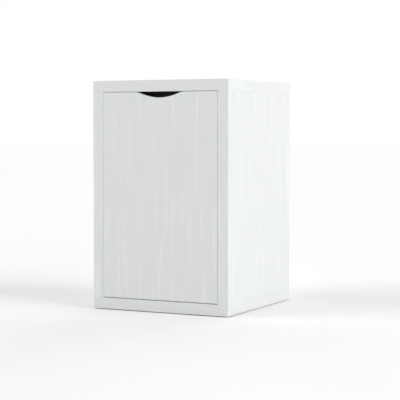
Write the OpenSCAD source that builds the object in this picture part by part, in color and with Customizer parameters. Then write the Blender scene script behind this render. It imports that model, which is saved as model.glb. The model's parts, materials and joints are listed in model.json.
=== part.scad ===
// Cabinet trash compactor: a wooden case, a full-height inset drawer front on telescopic slides, and a
// twin-screw press that drives a ram down into the bin. Millimetres, +Z up, front towards -Y.
// The origin is the middle of the footprint, on the floor.

/* [Case] */
// Width of the wooden case
case_w = 600; // [500:1:760]
// Depth of the wooden case
case_d = 605; // [600:1:760]
// Height of the wooden case, without its glides
case_h = 915; // [880:1:1120]
// Thickness of the case panels
panel_t = 45; // [32:1:54]
// Gap at each side of the drawer front
side_gap = 1; // [0.8:0.1:3]
// Gap above the drawer front
top_gap = 1.5; // [1:0.1:4]
// Gap under the drawer front
bottom_gap = 2.5; // [1.5:0.1:5]
// Thickness of the back panel
back_t = 6; // [4:0.5:10]
// How far the back panel sits inside the rear edges
back_setback = 12; // [8:1:16]
// Width of the rebate that the back panel sits in
rebate_w = 10; // [8:1:16]
// Thickness of the nail-on floor glides
glide_t = 3; // [2:0.5:6]
// Diameter of the floor glides
glide_dia = 40; // [24:1:48]

/* [Drawer front] */
// Thickness of the drawer front
front_t = 22; // [16:1:28]
// Width of the finger notch, tip to tip
notch_w = 226; // [180:2:240]
// Depth of the finger notch
notch_depth = 22.5; // [16:0.5:26]
// Radius that eases the notch into the top edge
notch_ease = 70; // [40:1:80]
// Depth of the finger cup behind the notch
cup_depth = 42; // [34:1:44]
// Height of the finger cup
cup_h = 79; // [60:1:90]

/* [Drawer] */
// Length of the drawer slides
slide_len = 510; // [470:5:520]
// Height of the drawer slides
slide_h = 46; // [42:1:56]
// Thickness of a slide, all three members together
slide_w = 19; // [18:0.5:24]
// Thickness of the sheet metal in the drawer
sheet_t = 1.5; // [1:0.1:2]
// Depth of the bin, front to back
bin_d = 384; // [320:1:400]
// Height of the bin
bin_h = 400; // [330:1:480]
// Thickness of the bin's walls
bin_wall = 4; // [3:0.5:6]
// Radius of the bin's upright corners
bin_corner = 12; // [8:1:30]
// Width of the bin's rim
bin_rim = 8; // [4:1:8]

/* [Press] */
// Diameter of the power screws
screw_dia = 20; // [16:1:22]
// Lead of the power screws, travel a turn
screw_lead = 8; // [5:1:10]
// Space between the bin's rim and the raised ram
ram_lift = 14; // [8:1:30]
// Gap between the ram and the bin's walls
ram_gap = 10; // [5:1:20]
// Thickness of the pressing plate
plate_t = 5; // [4:1:8]
// Depth of a column's channel, from the case wall inwards
column_d = 54; // [52:1:60]
// Width of a column's channel
column_w = 90; // [84:1:100]
// Thickness of the column steel
column_t = 2.5; // [2:0.5:3]

/* [Drive] */
// Teeth on each chain sprocket
sprocket_teeth = 12; // [12:1:12]
// Pitch of the chain
chain_pitch = 9.525; // [9.525:0.001:9.526]
// Gear module
gear_module = 1.25; // [1:0.25:1.25]
// Teeth on the motor pinion
pinion_teeth = 14; // [12:2:16]
// Teeth on the reduction gear
gear_teeth = 84; // [72:2:90]
// Radius of the motor
motor_r = 55; // [45:1:58]
// Height of the motor
motor_h = 150; // [100:1:180]

/* [Hidden] */
$fn = 48;

// Finishes
WOOD = [0.85, 0.86, 0.86];
STEEL = [0.70, 0.71, 0.72];
DARK = [0.08, 0.08, 0.09];
BRONZE = [0.70, 0.55, 0.30];
NYLON = [0.90, 0.89, 0.85];
CAST = [0.45, 0.46, 0.48];

// Small clearances
case_clear = 0.5;   // steel frame to the wooden case
fit = 0.1;          // a pin or bolt in its hole
run_fit = 0.1;      // a shaft in its bearing
slip = 0.5;         // a guide shoe in its column
eps = 0.01;         // a cutter past the face that it cuts

// The case
in_x = case_w / 2 - panel_t;                 // inner face of a side panel
floor_z = glide_t + panel_t;                 // inner floor
ceil_z = glide_t + case_h - panel_t;         // inner ceiling
front_y = -case_d / 2;
rear_y = case_d / 2;
back_out = rear_y - back_setback;            // outer face of the back panel
back_in = back_out - back_t;                 // inner face of the back panel
dowel_r = 5;
dowel_len = 50;
dowel_inset = 70;
glide_inset = 45;
glide_pin_r = 2;
glide_pin_len = 15;

// The steel frame
frame_x = in_x - case_clear;                 // outer face of a column
base_t = 3;
base_top = floor_z + base_t;
chain_space = 33;                            // between the base plate and the deck
deck_t = 2;
deck_z = base_top + chain_space;
tray_z = deck_z + 34;                        // underside of the carriage
beam_h = 36;
beam_t = 4;
beam_gap = 7;                                // between the beam and the ceiling, for the cables
beam_z = ceil_z - beam_gap - beam_h;
cap_t = 4;                                   // plate that closes a column's top
lip = 14;                                    // return lip of a column
column_face = frame_x - column_d;            // inner face of a column's lips
screw_x = frame_x - column_d / 2;
bolt_r = 4;
bolt_head_r = 7.2;
bolt_head_h = 5.3;
beam_bolt_y = 32;                            // beam bolts, from the screw's axis

// The drawer
frame_y = front_y + front_t;                 // rear face of the drawer front
front_w = 2 * (in_x - side_gap);
front_z = floor_z + bottom_gap;
front_h = ceil_z - floor_z - bottom_gap - top_gap;
car_x = column_face - slide_w;               // outer face of the carriage
bin_side_gap = 6.5;
bin_front_gap = 2;                           // from the rim to the front frame
bin_x = car_x - sheet_t - bin_side_gap;      // outer half width of the bin
bin_y = frame_y + sheet_t + bin_front_gap + bin_rim;
bin_z = tray_z + sheet_t;
rim_z = bin_z + bin_h;
press_y = bin_y + bin_d / 2;                 // the screws stand either side of the bin's middle
car_y = bin_y + bin_d + bin_side_gap + sheet_t;
car_h = 62;
slide_z = tray_z + 7 + slide_h / 2;          // middle height of the slides
slide_y = frame_y + 4;
stop_len = 10;
member_len = slide_len - stop_len - 1;       // middle and inner members, clear of the rear stops

// The press
cross_h = 46;
cross_w = 50;
cross_t = 4;
shoe_h = 24;
shoe_gap = 4;                                // below the column's cap
shoe_z = beam_z - cap_t - shoe_gap - shoe_h;
cross_z = shoe_z - cross_h;
ram_z = rim_z + ram_lift;                    // underside of the raised plate
ram_x = bin_x - bin_wall - ram_gap;
ram_y = bin_d / 2 - bin_wall - ram_gap;      // half depth of the plate
shell_t = 2.5;
shell_inset = 2;
nut_w = 34;
journal_r = screw_dia / 2 - 2;               // lower journal
top_journal_r = screw_dia / 2 - 3;
foot_h = 8;
foot_r = 20;
thrust_t = 1;                                // floor under a journal
thrust_gap = 0.05;
screw_foot_z = base_top + foot_h + 0.5;      // where the threaded bar starts above its bearing
bar_top = beam_z - 3;

// The drive
pitch_r = chain_pitch / 2 / sin(180 / sprocket_teeth);
roller_r = 3.175;
chain_z = base_top + 15;                     // middle plane of the chain
sprocket_w = 5.4;
hub_r = 13.5;
hub_h = 11;
plate_half = 4.1;                            // half height of a link plate
plate_w = 2.7;                               // inner and outer link plates together
plate_gap = 2.9;                             // from the middle plane to the plates
motor_bay = (car_y + back_in) / 2;           // where the drive shaft would best stand
bay_reach = motor_bay - press_y;
wanted_links = (2 * screw_x + 2 * norm([screw_x, bay_reach])) / chain_pitch + sprocket_teeth;
chain_links = 2 * round(wanted_links / 2);   // a chain closes on an even number of links
chain_side = ((chain_links - sprocket_teeth) * chain_pitch - 2 * screw_x) / 2;
drive_y = press_y + sqrt(chain_side * chain_side - screw_x * screw_x);
gear_r = gear_module * gear_teeth / 2;
pinion_r = gear_module * pinion_teeth / 2;
motor_x = gear_r + pinion_r;                 // the motor stands beside the drive shaft
backlash = 0.12;
pressure_angle = 25;
bridge_t = 4;
bridge_z = deck_z + bridge_t;                // top of the motor bridge
case_wall = 4;
gear_w = 12;
gear_z = bridge_z + case_wall + 2;
lid_z = gear_z + gear_w + 4;                 // underside of the gearcase lid
lid_t = 4;
motor_z = lid_z + lid_t;
rotor_r = 37;
shaft_r = 5;

// The controls, under the ceiling behind the finger cup
cup_z = ceil_z - 4 - cup_h;
cup_wall = 2;
cup_x = notch_w / 2 + 10;
panel_y = frame_y + cup_depth + 10;          // front of the control panel
panel_w = 300;
panel_h = 35;
panel_depth = 22;
button_r = 7;
lock_r = 9;
lens_r = 3;
control_z = ceil_z - panel_h / 2 - 1;
start_x = -96;
stop_x = -64;
lens_x = -32;
lock_x = 90;
button_out = 3;

// ---------------------------------------------------------------- shared shapes

module at_both_sides() {
    children();
    mirror([1, 0, 0]) children();
}

// A bar along Y between two faces, as wide as [x0, x1] and as high as [z0, z1]
module bar(x0, x1, y0, y1, z0, z1) {
    translate([x0, y0, z0]) cube([x1 - x0, y1 - y0, z1 - z0]);
}

module rounded_plate(half_x, half_y, r, h) {
    linear_extrude(h) {
        square([2 * half_x - 2 * r, 2 * half_y], center = true);
        square([2 * half_x, 2 * half_y - 2 * r], center = true);
        for (x = [-1, 1], y = [-1, 1])
            translate([x * (half_x - r), y * (half_y - r)]) circle(r);
    }
}

module rod(r, z0, z1) {
    translate([0, 0, z0]) cylinder(r = r, h = z1 - z0);
}

// Hex bolt with its head standing on z = 0 and its shank below
module hex_bolt(shank) {
    cylinder(r = bolt_head_r, h = bolt_head_h, $fn = 6);
    rod(bolt_r, -shank, eps);
}

// Round cable along a list of points
module cable(route, r) {
    for (i = [0 : len(route) - 2]) {
        run = route[i + 1] - route[i];
        turn = atan2(run.y, run.x);
        lean = atan2(norm([run.x, run.y]), run.z);
        translate(route[i]) rotate([0, lean, turn]) cylinder(r = r, h = norm(run), $fn = 20);
        if (i > 0) translate(route[i]) sphere(r + 0.1, $fn = 20);
    }
}

// ---------------------------------------------------------------- the case

dowel_xs = [-case_w / 2 + panel_t / 2, case_w / 2 - panel_t / 2];
dowel_ys = [front_y + dowel_inset, 0, rear_y - dowel_inset];

module dowel_holes() {
    for (x = dowel_xs, y = dowel_ys, z = [floor_z, ceil_z])
        translate([x, y, z - dowel_len / 2 - 0.5]) cylinder(r = dowel_r + fit, h = dowel_len + 1);
}

module rebate() {
    bar(-in_x - rebate_w, in_x + rebate_w, back_in, rear_y + eps,
        floor_z - rebate_w, ceil_z + rebate_w);
}

module lid_panel(z) {
    difference() {
        bar(-case_w / 2, case_w / 2, front_y, rear_y, z, z + panel_t);
        rebate();
        dowel_holes();
    }
}

base_bolt_xs = [-in_x + 100, in_x - 100];
base_bolt_ys = [frame_y + 30, press_y + 70, back_in - 20];
base_bolt_len = 28;

module top_panel() {
    color(WOOD) lid_panel(ceil_z);
}

module bottom_panel() {
    color(WOOD) difference() {
        lid_panel(glide_t);
        for (x = base_bolt_xs, y = base_bolt_ys)
            translate([x, y, floor_z - base_bolt_len - 1]) cylinder(r = bolt_r + fit, h = 60);
        at_glides() rod(glide_pin_r + fit, glide_t - 1, glide_t + glide_pin_len + 1);
    }
}

module side_panel() {
    color(WOOD) difference() {
        bar(in_x, case_w / 2, front_y, rear_y, floor_z, ceil_z);
        rebate();
        dowel_holes();
    }
}

module left_panel() {
    mirror([1, 0, 0]) side_panel();
}

module right_panel() {
    side_panel();
}

module panel_dowels() {
    color(NYLON) for (x = dowel_xs, y = dowel_ys, z = [floor_z, ceil_z])
        translate([x, y, z - dowel_len / 2]) cylinder(r = dowel_r, h = dowel_len);
}

module at_glides() {
    for (x = [-1, 1], y = [-1, 1])
        translate([x * (case_w / 2 - glide_inset), y * (case_d / 2 - glide_inset), 0]) children();
}

module floor_glides() {
    color(NYLON) at_glides() {
        cylinder(r = glide_dia / 2, h = glide_t);
        rod(glide_pin_r, glide_t - eps, glide_t + glide_pin_len);
    }
}

// The back panel, with its vents and the hole of the power inlet
inlet_x = in_x - 65;
inlet_z = floor_z + 72;
inlet_w = 27;
inlet_h = 20;
inlet_flange = [50, 23];
vent_w = 84;
vent_h = 4;
vent_step = 14;
vent_rows = 12;
vent_z = (floor_z + ceil_z) / 2 + 40;
back_screw_r = 1.9;
back_screw_inset = rebate_w / 2;
back_xs = [-in_x - back_screw_inset, in_x + back_screw_inset];
back_zs = [for (i = [0 : 3]) floor_z + 40 + i * (ceil_z - floor_z - 80) / 3];

module at_back_screws() {
    for (x = back_xs, z = back_zs) translate([x, 0, z]) rotate([-90, 0, 0]) children();
    for (x = [-in_x / 2, in_x / 2], z = [floor_z - back_screw_inset, ceil_z + back_screw_inset])
        translate([x, 0, z]) rotate([-90, 0, 0]) children();
}

module back_panel() {
    color(WOOD) difference() {
        bar(-in_x - rebate_w, in_x + rebate_w, back_in, back_out,
            floor_z - rebate_w, ceil_z + rebate_w);
        bar(inlet_x - inlet_w / 2 - fit, inlet_x + inlet_w / 2 + fit, back_in - 1, back_out + 1,
            inlet_z - inlet_h / 2 - fit, inlet_z + inlet_h / 2 + fit);
        for (x = [-1, 1], i = [0 : vent_rows - 1])
            translate([x * (vent_w / 2 + 14), back_in - 1, vent_z + i * vent_step])
                rotate([-90, 0, 0]) linear_extrude(back_t + 2) {
                    square([vent_w - vent_h, vent_h], center = true);
                    for (e = [-1, 1]) translate([e * (vent_w - vent_h) / 2, 0]) circle(vent_h / 2);
                }
        at_back_screws() rod(back_screw_r + fit, back_in - 1, back_out + 1);
    }
}

module back_screws() {
    color(STEEL) at_back_screws() {
        rod(back_screw_r, back_in, back_out + eps);
        rod(4, back_out, back_out + 2.2);
    }
}

// ---------------------------------------------------------------- the steel frame

module base_plate() {
    color(STEEL) difference() {
        bar(-frame_x, frame_x, frame_y + 3, back_in - 1, floor_z, base_top);
        for (x = base_bolt_xs, y = base_bolt_ys)
            translate([x, y, floor_z - 1]) cylinder(r = bolt_r + fit, h = base_t + 2);
    }
}

// Lipped channel, open towards the middle, with a capped top and a window where the chain leaves it
module column() {
    half = column_w / 2;
    color(STEEL) translate([0, press_y, 0]) difference() {
        union() {
            bar(frame_x - column_t, frame_x, -half, half, base_top, beam_z);
            bar(column_face, frame_x, -half, -half + column_t, base_top, beam_z);
            bar(column_face, frame_x, half - column_t, half, base_top, beam_z);
            bar(column_face, column_face + column_t, -half, -half + lip, base_top, beam_z);
            bar(column_face, column_face + column_t, half - lip, half, base_top, beam_z);
            bar(column_face, frame_x, -half, half, beam_z - cap_t, beam_z);
        }
        bar(column_face - 1, frame_x - column_t, half - lip - 1, half + 1, base_top - 1, deck_z + 6);
        translate([screw_x, 0, beam_z - cap_t - 1]) cylinder(r = screw_dia / 2 + 4, h = cap_t + 2);
        for (y = [-beam_bolt_y, beam_bolt_y])
            translate([screw_x, y, beam_z - cap_t - 1]) cylinder(r = bolt_r + fit, h = cap_t + 2);
    }
}

module left_column() {
    mirror([1, 0, 0]) column();
}

module right_column() {
    column();
}

bush_r = 12;

module top_beam() {
    half = column_w / 2;
    color(STEEL) translate([0, press_y, 0]) difference() {
        union() {
            bar(-frame_x, frame_x, -half, half, beam_z, beam_z + beam_t);
            bar(-frame_x, frame_x, -half, -half + beam_t, beam_z, beam_z + beam_h);
            bar(-frame_x, frame_x, half - beam_t, half, beam_z, beam_z + beam_h);
        }
        for (x = [-screw_x, screw_x]) {
            translate([x, 0, beam_z - 1]) cylinder(r = bush_r + fit, h = beam_t + 2);
            for (y = [-beam_bolt_y, beam_bolt_y])
                translate([x, y, beam_z - 1]) cylinder(r = bolt_r + fit, h = beam_t + 2);
        }
    }
}

module frame_bolts() {
    color(STEEL) {
        for (x = [-screw_x, screw_x], y = [-beam_bolt_y, beam_bolt_y])
            translate([x, press_y + y, beam_z + beam_t]) hex_bolt(beam_t + cap_t);
        for (x = base_bolt_xs, y = base_bolt_ys)
            translate([x, y, base_top]) hex_bolt(base_bolt_len);
    }
}

// Deck over the chain, with its front apron and two ribs that carry the press rails
rail_x = min(110, bin_x - 40);
rib_t = 4;
deck_y = frame_y + 6;
deck_back = car_y - 5;

module deck() {
    color(STEEL) {
        difference() {
            bar(-column_face + 1, column_face - 1, deck_y, deck_back, deck_z, deck_z + deck_t);
            for (x = base_bolt_xs, y = [base_bolt_ys[0]])
                translate([x, y, deck_z - 1]) cylinder(r = 9, h = deck_t + 2);
        }
        bar(-column_face + 1, column_face - 1, deck_y, deck_y + deck_t, base_top, deck_z);
        for (x = [-rail_x, rail_x]) difference() {
            bar(x - rib_t / 2, x + rib_t / 2, deck_y + deck_t, press_y + 60, base_top, deck_z);
            bar(x - rib_t, x + rib_t, press_y - pitch_r - 12, press_y - pitch_r + 12,
                chain_z - 10, chain_z + 10);
        }
    }
}

module press_rails() {
    color(NYLON) for (x = [-rail_x, rail_x])
        bar(x - 15, x + 15, deck_y + 8, deck_back - 8, deck_z + deck_t, tray_z - 1);
}

module at_shafts() {
    for (p = [[-screw_x, press_y], [screw_x, press_y], [0, drive_y]])
        translate([p.x, p.y, 0]) children();
}

module foot_bearings() {
    color(CAST) at_shafts() difference() {
        union() {
            rod(foot_r, base_top, base_top + 4);
            rod(foot_r - 5, base_top, base_top + foot_h);
        }
        rod(journal_r + run_fit, base_top + thrust_t, base_top + foot_h + 1);
    }
}

module top_bushes() {
    color(BRONZE) for (x = [-screw_x, screw_x]) translate([x, press_y, 0]) difference() {
        union() {
            rod(bush_r, beam_z, beam_z + beam_t + eps);
            rod(bush_r + 4, beam_z + beam_t, beam_z + beam_t + 3);
        }
        rod(top_journal_r + run_fit, beam_z - 1, beam_z + beam_t + 4);
    }
}

// ---------------------------------------------------------------- the drive

// Half angle of an involute tooth at radius r, in degrees
function involute(a) = tan(a) * 180 / PI - a;
function tooth_angle(teeth, r, base_r) =
    90 / teeth - backlash / (gear_module * teeth / 2) * 180 / PI / 2
    + involute(pressure_angle) - involute(r > base_r ? acos(base_r / r) : 0);

function gear_outline(teeth) =
    let (
        r = gear_module * teeth / 2,
        base_r = r * cos(pressure_angle),
        root_r = r - 1.2 * gear_module,
        tip_r = r + gear_module,
        flank = [root_r, max(base_r, root_r + 0.1), r, tip_r]
    )
    [for (i = [0 : teeth - 1], side = [-1, 1], k = [0 : len(flank) - 1])
        let (
            q = flank[side < 0 ? k : len(flank) - 1 - k],
            a = i * 360 / teeth + side * tooth_angle(teeth, q, base_r)
        )
        [q * cos(a), q * sin(a)]];

// A chain's closed loop round the three sprockets, moved outwards from the pitch line by off
side_turn = atan2(drive_y - press_y, screw_x);      // lean of the two long runs
function arc_points(c, r, a0, a1) = [for (i = [0 : 12]) let (a = a0 + (a1 - a0) * i / 12)
    [c.x + r * cos(a), c.y + r * sin(a)]];
function chain_outline(off) = concat(
    arc_points([screw_x, press_y], pitch_r + off, -90, 90 - side_turn),
    arc_points([0, drive_y], pitch_r + off, 90 - side_turn, 90 + side_turn),
    arc_points([-screw_x, press_y], pitch_r + off, 90 + side_turn, 270));

// Where the sprockets' seats stand, so that the chain's rollers fall into them
front_run = 2 * screw_x / chain_pitch;
side_run = chain_side / chain_pitch;
pitch_angle = 360 / sprocket_teeth;
left_phase = -90;
right_phase = -90 - (front_run - floor(front_run)) * pitch_angle;
drive_phase = right_phase - (side_run - floor(side_run)) * pitch_angle;

module drive_chain() {
    color(DARK) for (z = [chain_z - plate_gap - plate_w, chain_z + plate_gap])
        translate([0, 0, z]) linear_extrude(plate_w) difference() {
            polygon(chain_outline(plate_half));
            polygon(chain_outline(-plate_half));
        }
}

module sprocket(phase, shaft) {
    color(CAST) rotate([0, 0, phase]) difference() {
        union() {
            rod(pitch_r + 2, chain_z - sprocket_w / 2, chain_z + sprocket_w / 2);
            rod(hub_r, chain_z, chain_z + hub_h);
        }
        rod(shaft + 0.02, chain_z - 10, chain_z + hub_h + 1);
        for (i = [0 : sprocket_teeth - 1]) rotate([0, 0, i * pitch_angle])
            translate([pitch_r, 0, 0]) rod(roller_r + fit, chain_z - 10, chain_z + sprocket_w / 2 + eps);
    }
}

module left_sprocket() {
    translate([-screw_x, press_y, 0]) sprocket(left_phase, screw_dia / 2);
}

module right_sprocket() {
    translate([screw_x, press_y, 0]) sprocket(right_phase, screw_dia / 2);
}

module drive_sprocket() {
    translate([0, drive_y, 0]) sprocket(drive_phase, screw_dia / 2);
}

bridge_edge = 12;                            // from the motor to the bridge's edges
// The bridge's legs stand this far out, so that the chain's long runs pass in front of them
bridge_reach = (motor_r + bridge_edge + (pitch_r + plate_half + 4) / cos(side_turn)) / tan(side_turn);
bridge_x0 = -max(100, bridge_reach);
bridge_x1 = max(motor_x + motor_r + bridge_edge, bridge_reach);
bridge_y0 = drive_y - motor_r - bridge_edge;
bridge_y1 = min(drive_y + motor_r + bridge_edge, back_in - 2);

module motor_bridge() {
    color(STEEL) difference() {
        union() {
            bar(bridge_x0, bridge_x1, bridge_y0, bridge_y1, deck_z, bridge_z);
            bar(bridge_x0, bridge_x0 + bridge_t, bridge_y0, bridge_y1, base_top, deck_z);
            bar(bridge_x1 - bridge_t, bridge_x1, bridge_y0, bridge_y1, base_top, deck_z);
        }
        translate([0, drive_y, 0]) rod(hub_r + 4, deck_z - 1, bridge_z + 1);
    }
}

module gearcase_outline(grow) {
    translate([0, drive_y]) circle(gear_r + gear_module + 3 + grow);
    translate([motor_x, drive_y]) circle(pinion_r + gear_module + 3 + grow);
    translate([0, drive_y - pinion_r - gear_module - 3 - grow])
        square([motor_x, 2 * (pinion_r + gear_module + 3 + grow)]);
}

module gearcase() {
    color(CAST) difference() {
        translate([0, 0, bridge_z]) linear_extrude(lid_z - bridge_z) gearcase_outline(case_wall);
        translate([0, 0, bridge_z + case_wall]) linear_extrude(40) gearcase_outline(0);
        translate([0, drive_y, 0]) rod(screw_dia / 2 + run_fit, bridge_z - 1, bridge_z + case_wall + 1);
    }
}

module gearcase_lid() {
    color(CAST) difference() {
        translate([0, 0, lid_z]) linear_extrude(lid_t) {
            gearcase_outline(case_wall);
            translate([motor_x, drive_y]) circle(motor_r + 3);
        }
        translate([motor_x, drive_y, 0]) rod(shaft_r + 1, lid_z - 1, lid_z + lid_t + 1);
        translate([0, drive_y, 0]) rod(6 + run_fit, lid_z - 1, lid_z + lid_t + 1);
    }
}

module motor_body() {
    color(CAST) translate([motor_x, drive_y, 0]) difference() {
        union() {
            rod(motor_r, motor_z, motor_z + motor_h);
            for (i = [0 : 11]) rotate([0, 0, i * 30])
                bar(motor_r - 2, motor_r + 2, -1.5, 1.5, motor_z + 18, motor_z + motor_h - 18);
        }
        rod(rotor_r + 1, motor_z + 18, motor_z + motor_h - 18);
        rod(shaft_r + run_fit, motor_z - 1, motor_z + motor_h + 1);
    }
}

module motor_cap() {
    top = motor_z + motor_h;
    color(DARK) translate([motor_x, drive_y, 0]) difference() {
        union() {
            rod(motor_r, top, top + 16);
            rod(motor_r - 8, top + 16, top + 22);
        }
        rod(motor_r - 12, top - 1, top + 18);
        for (i = [0 : 7]) rotate([0, 0, i * 45]) bar(16, 40, -2.5, 2.5, top + 10, top + 30);
    }
}

module motor_rotor() {
    color(STEEL) translate([motor_x, drive_y, 0]) {
        rod(shaft_r, gear_z - 1, motor_z + motor_h + 8);
        rod(rotor_r, motor_z + 24, motor_z + motor_h - 24);
        translate([0, 0, gear_z - 1]) rotate([0, 0, 180 / pinion_teeth])
            linear_extrude(gear_w + 2) polygon(gear_outline(pinion_teeth));
    }
}

module reduction_gear() {
    color(CAST) translate([0, drive_y, gear_z]) difference() {
        linear_extrude(gear_w) polygon(gear_outline(gear_teeth));
        rod(screw_dia / 2 + 0.02, -1, gear_w + 1);
        for (i = [0 : 5]) rotate([0, 0, i * 60 + 30])
            translate([gear_r * 0.6, 0, 0]) rod(9, -1, gear_w + 1);
    }
}

module drive_shaft() {
    color(STEEL) translate([0, drive_y, 0]) {
        rod(journal_r, base_top + thrust_t + thrust_gap, screw_foot_z + eps);
        rod(screw_dia / 2, screw_foot_z, gear_z + gear_w + 1);
        rod(6, gear_z + gear_w, lid_z + lid_t - 0.5);
    }
}

// ---------------------------------------------------------------- the press

module power_screw() {
    color(STEEL) {
        rod(journal_r, base_top + thrust_t + thrust_gap, screw_foot_z + eps);
        rod(screw_dia / 2, screw_foot_z, bar_top);
        rod(top_journal_r, bar_top - eps, beam_z + beam_t + 8);
    }
}

module left_screw() {
    translate([-screw_x, press_y, 0]) power_screw();
}

module right_screw() {
    translate([screw_x, press_y, 0]) power_screw();
}

cross_end = screw_x + nut_w / 2 + 3;

module crosshead() {
    half = cross_w / 2;
    color(STEEL) translate([0, press_y, 0]) difference() {
        union() {
            bar(-cross_end, cross_end, -half, half, cross_z + cross_h - cross_t, cross_z + cross_h);
            bar(-cross_end, cross_end, -half, -half + cross_t, cross_z, cross_z + cross_h);
            bar(-cross_end, cross_end, half - cross_t, half, cross_z, cross_z + cross_h);
        }
        for (x = [-screw_x, screw_x]) translate([x, 0, 0])
            rod(screw_dia / 2 + 2, cross_z, cross_z + cross_h + 1);
    }
}

module power_nuts() {
    half = cross_w / 2 - cross_t;
    color(BRONZE) at_both_sides() translate([screw_x, press_y, 0]) difference() {
        bar(-nut_w / 2, nut_w / 2, -half, half, cross_z + 2, cross_z + cross_h - cross_t);
        rod(screw_dia / 2 + run_fit, cross_z, cross_z + cross_h);
    }
}

module guide_shoes() {
    half = column_w / 2 - column_t - slip;
    color(NYLON) at_both_sides() translate([0, press_y, 0]) difference() {
        bar(column_face + column_t + slip, frame_x - column_t - slip, -half, half,
            shoe_z, shoe_z + shoe_h);
        translate([screw_x, 0, 0]) rod(screw_dia / 2 + 2, shoe_z - 1, shoe_z + shoe_h + 1);
    }
}

module ram_plate() {
    color(STEEL) bar(-ram_x, ram_x, press_y - ram_y, press_y + ram_y, ram_z, ram_z + plate_t);
}

module ram_shell() {
    x = ram_x - shell_inset;
    y = ram_y - shell_inset;
    color(STEEL) translate([0, press_y, 0]) difference() {
        bar(-x, x, -y, y, ram_z + plate_t, cross_z);
        bar(-x + shell_t, x - shell_t, -y + shell_t, y - shell_t, ram_z + plate_t - 1, cross_z + 1);
    }
}

// ---------------------------------------------------------------- the drawer

// Finger notch: one arc, eased into the top edge at both tips. Points run from tip to tip.
function notch_points() =
    let (
        half = notch_w / 2,
        e = notch_ease,
        d = notch_depth,
        // the arc's radius, from (r + e)^2 = half^2 + (r - d + e)^2
        r = (half * half + d * d - 2 * d * e) / (2 * d),
        lean = atan2(half, r - d + e)
    )
    concat(
        [for (i = [0 : 8]) let (a = lean * i / 8) [-half + e * sin(a), -e + e * cos(a)]],
        [for (i = [1 : 29]) let (a = -lean + 2 * lean * i / 30) [r * sin(a), r - d - r * cos(a)]],
        [for (i = [8 : -1 : 0]) let (a = lean * i / 8) [half - e * sin(a), -e + e * cos(a)]]);

module drawer_front() {
    corner = front_w / 2;
    color(WOOD) difference() {
        translate([0, frame_y, front_z]) rotate([90, 0, 0]) linear_extrude(front_t)
            polygon(concat(
                [[-corner, 0], [-corner, front_h]],
                [for (p = notch_points()) [p.x, front_h + p.y]],
                [[corner, front_h], [corner, 0]]));
        at_front_screws() rod(front_screw_r + fit, -front_screw_bite - 1, 1);
    }
}

module finger_cup() {
    back = frame_y + cup_depth;
    top = cup_z + cup_h;
    color(DARK) {
        difference() {
            bar(-cup_x, cup_x, frame_y, back, cup_z, top);
            bar(-cup_x + cup_wall, cup_x - cup_wall, frame_y - 1, back - cup_wall,
                cup_z + cup_wall, top + 1);
        }
        at_both_sides() bar(cup_x - eps, cup_x + 14, frame_y, frame_y + cup_wall, cup_z, top - 6);
    }
}

frame_top = cup_z - 6;
front_screw_r = 2;
front_screw_bite = min(15, front_t - 4);
front_screw_xs = [-car_x + 26, 0, car_x - 26];
front_screw_zs = [tray_z + 130, rim_z - 60, frame_top - 40];

module at_front_screws() {
    for (x = front_screw_xs, z = front_screw_zs)
        translate([x, frame_y, z]) rotate([-90, 0, 0]) children();
}

module front_frame() {
    gusset_x = car_x - sheet_t;
    color(STEEL) {
        difference() {
            bar(-car_x, car_x, frame_y, frame_y + sheet_t, tray_z, frame_top);
            at_front_screws() rod(front_screw_r + fit, -1, sheet_t + 1);
        }
        at_both_sides() translate([gusset_x - sheet_t, 0, 0]) rotate([90, 0, 90])
            linear_extrude(sheet_t) polygon([
                [frame_y + sheet_t, tray_z + sheet_t], [frame_y + 60, tray_z + sheet_t],
                [frame_y + 60, tray_z + car_h], [frame_y + sheet_t + 8, rim_z - 20],
                [frame_y + sheet_t, rim_z - 20]]);
        at_both_sides() bar(car_x - sheet_t, car_x, frame_y + sheet_t, frame_y + 12,
            tray_z + car_h + 4, frame_top);
    }
}

module front_screws() {
    color(STEEL) at_front_screws() {
        rod(front_screw_r, -front_screw_bite, sheet_t + eps);
        rod(4.2, sheet_t, sheet_t + 2.2);
    }
}

module carriage() {
    y0 = frame_y + sheet_t;
    color(STEEL) {
        bar(-car_x, car_x, y0, car_y, tray_z, tray_z + sheet_t);
        at_both_sides() bar(car_x - sheet_t, car_x, y0, car_y, tray_z, tray_z + car_h);
        bar(-car_x, car_x, car_y - sheet_t, car_y, tray_z, tray_z + car_h);
    }
}

module bin() {
    half_y = bin_d / 2;
    color(DARK) translate([0, press_y, 0]) difference() {
        union() {
            translate([0, 0, bin_z]) rounded_plate(bin_x, half_y, bin_corner, bin_h);
            translate([0, 0, rim_z - bin_wall])
                rounded_plate(bin_x + bin_rim, half_y + bin_rim, bin_corner + bin_rim, bin_wall);
        }
        translate([0, 0, bin_z + bin_wall])
            rounded_plate(bin_x - bin_wall, half_y - bin_wall, bin_corner - bin_wall, bin_h);
    }
}

// ---------------------------------------------------------------- the slides

member_t = 1.6;
ball_gap = 3.8;                               // between two members' lips
mid_half = slide_h / 2 - member_t - ball_gap; // outer half height of the middle member
in_half = mid_half - member_t - ball_gap;     // outer half height of the inner member

module slide_outers() {
    color(STEEL) at_both_sides() translate([0, slide_y, slide_z]) {
        h = slide_h / 2;
        bar(column_face - member_t, column_face, 0, slide_len, -h, h);
        for (s = [-h, h - member_t])
            bar(column_face - slide_w + 6, column_face, 0, slide_len, s, s + member_t);
    }
}

module slide_middle() {
    color(STEEL) translate([0, slide_y, slide_z]) {
        web = car_x + slide_w / 2 - 0.5;
        bar(web, web + member_t, 0, member_len, -mid_half, mid_half);
        for (s = [-mid_half, mid_half - member_t])
            bar(car_x + 3, column_face - 3.5, 0, member_len, s, s + member_t);
    }
}

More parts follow.
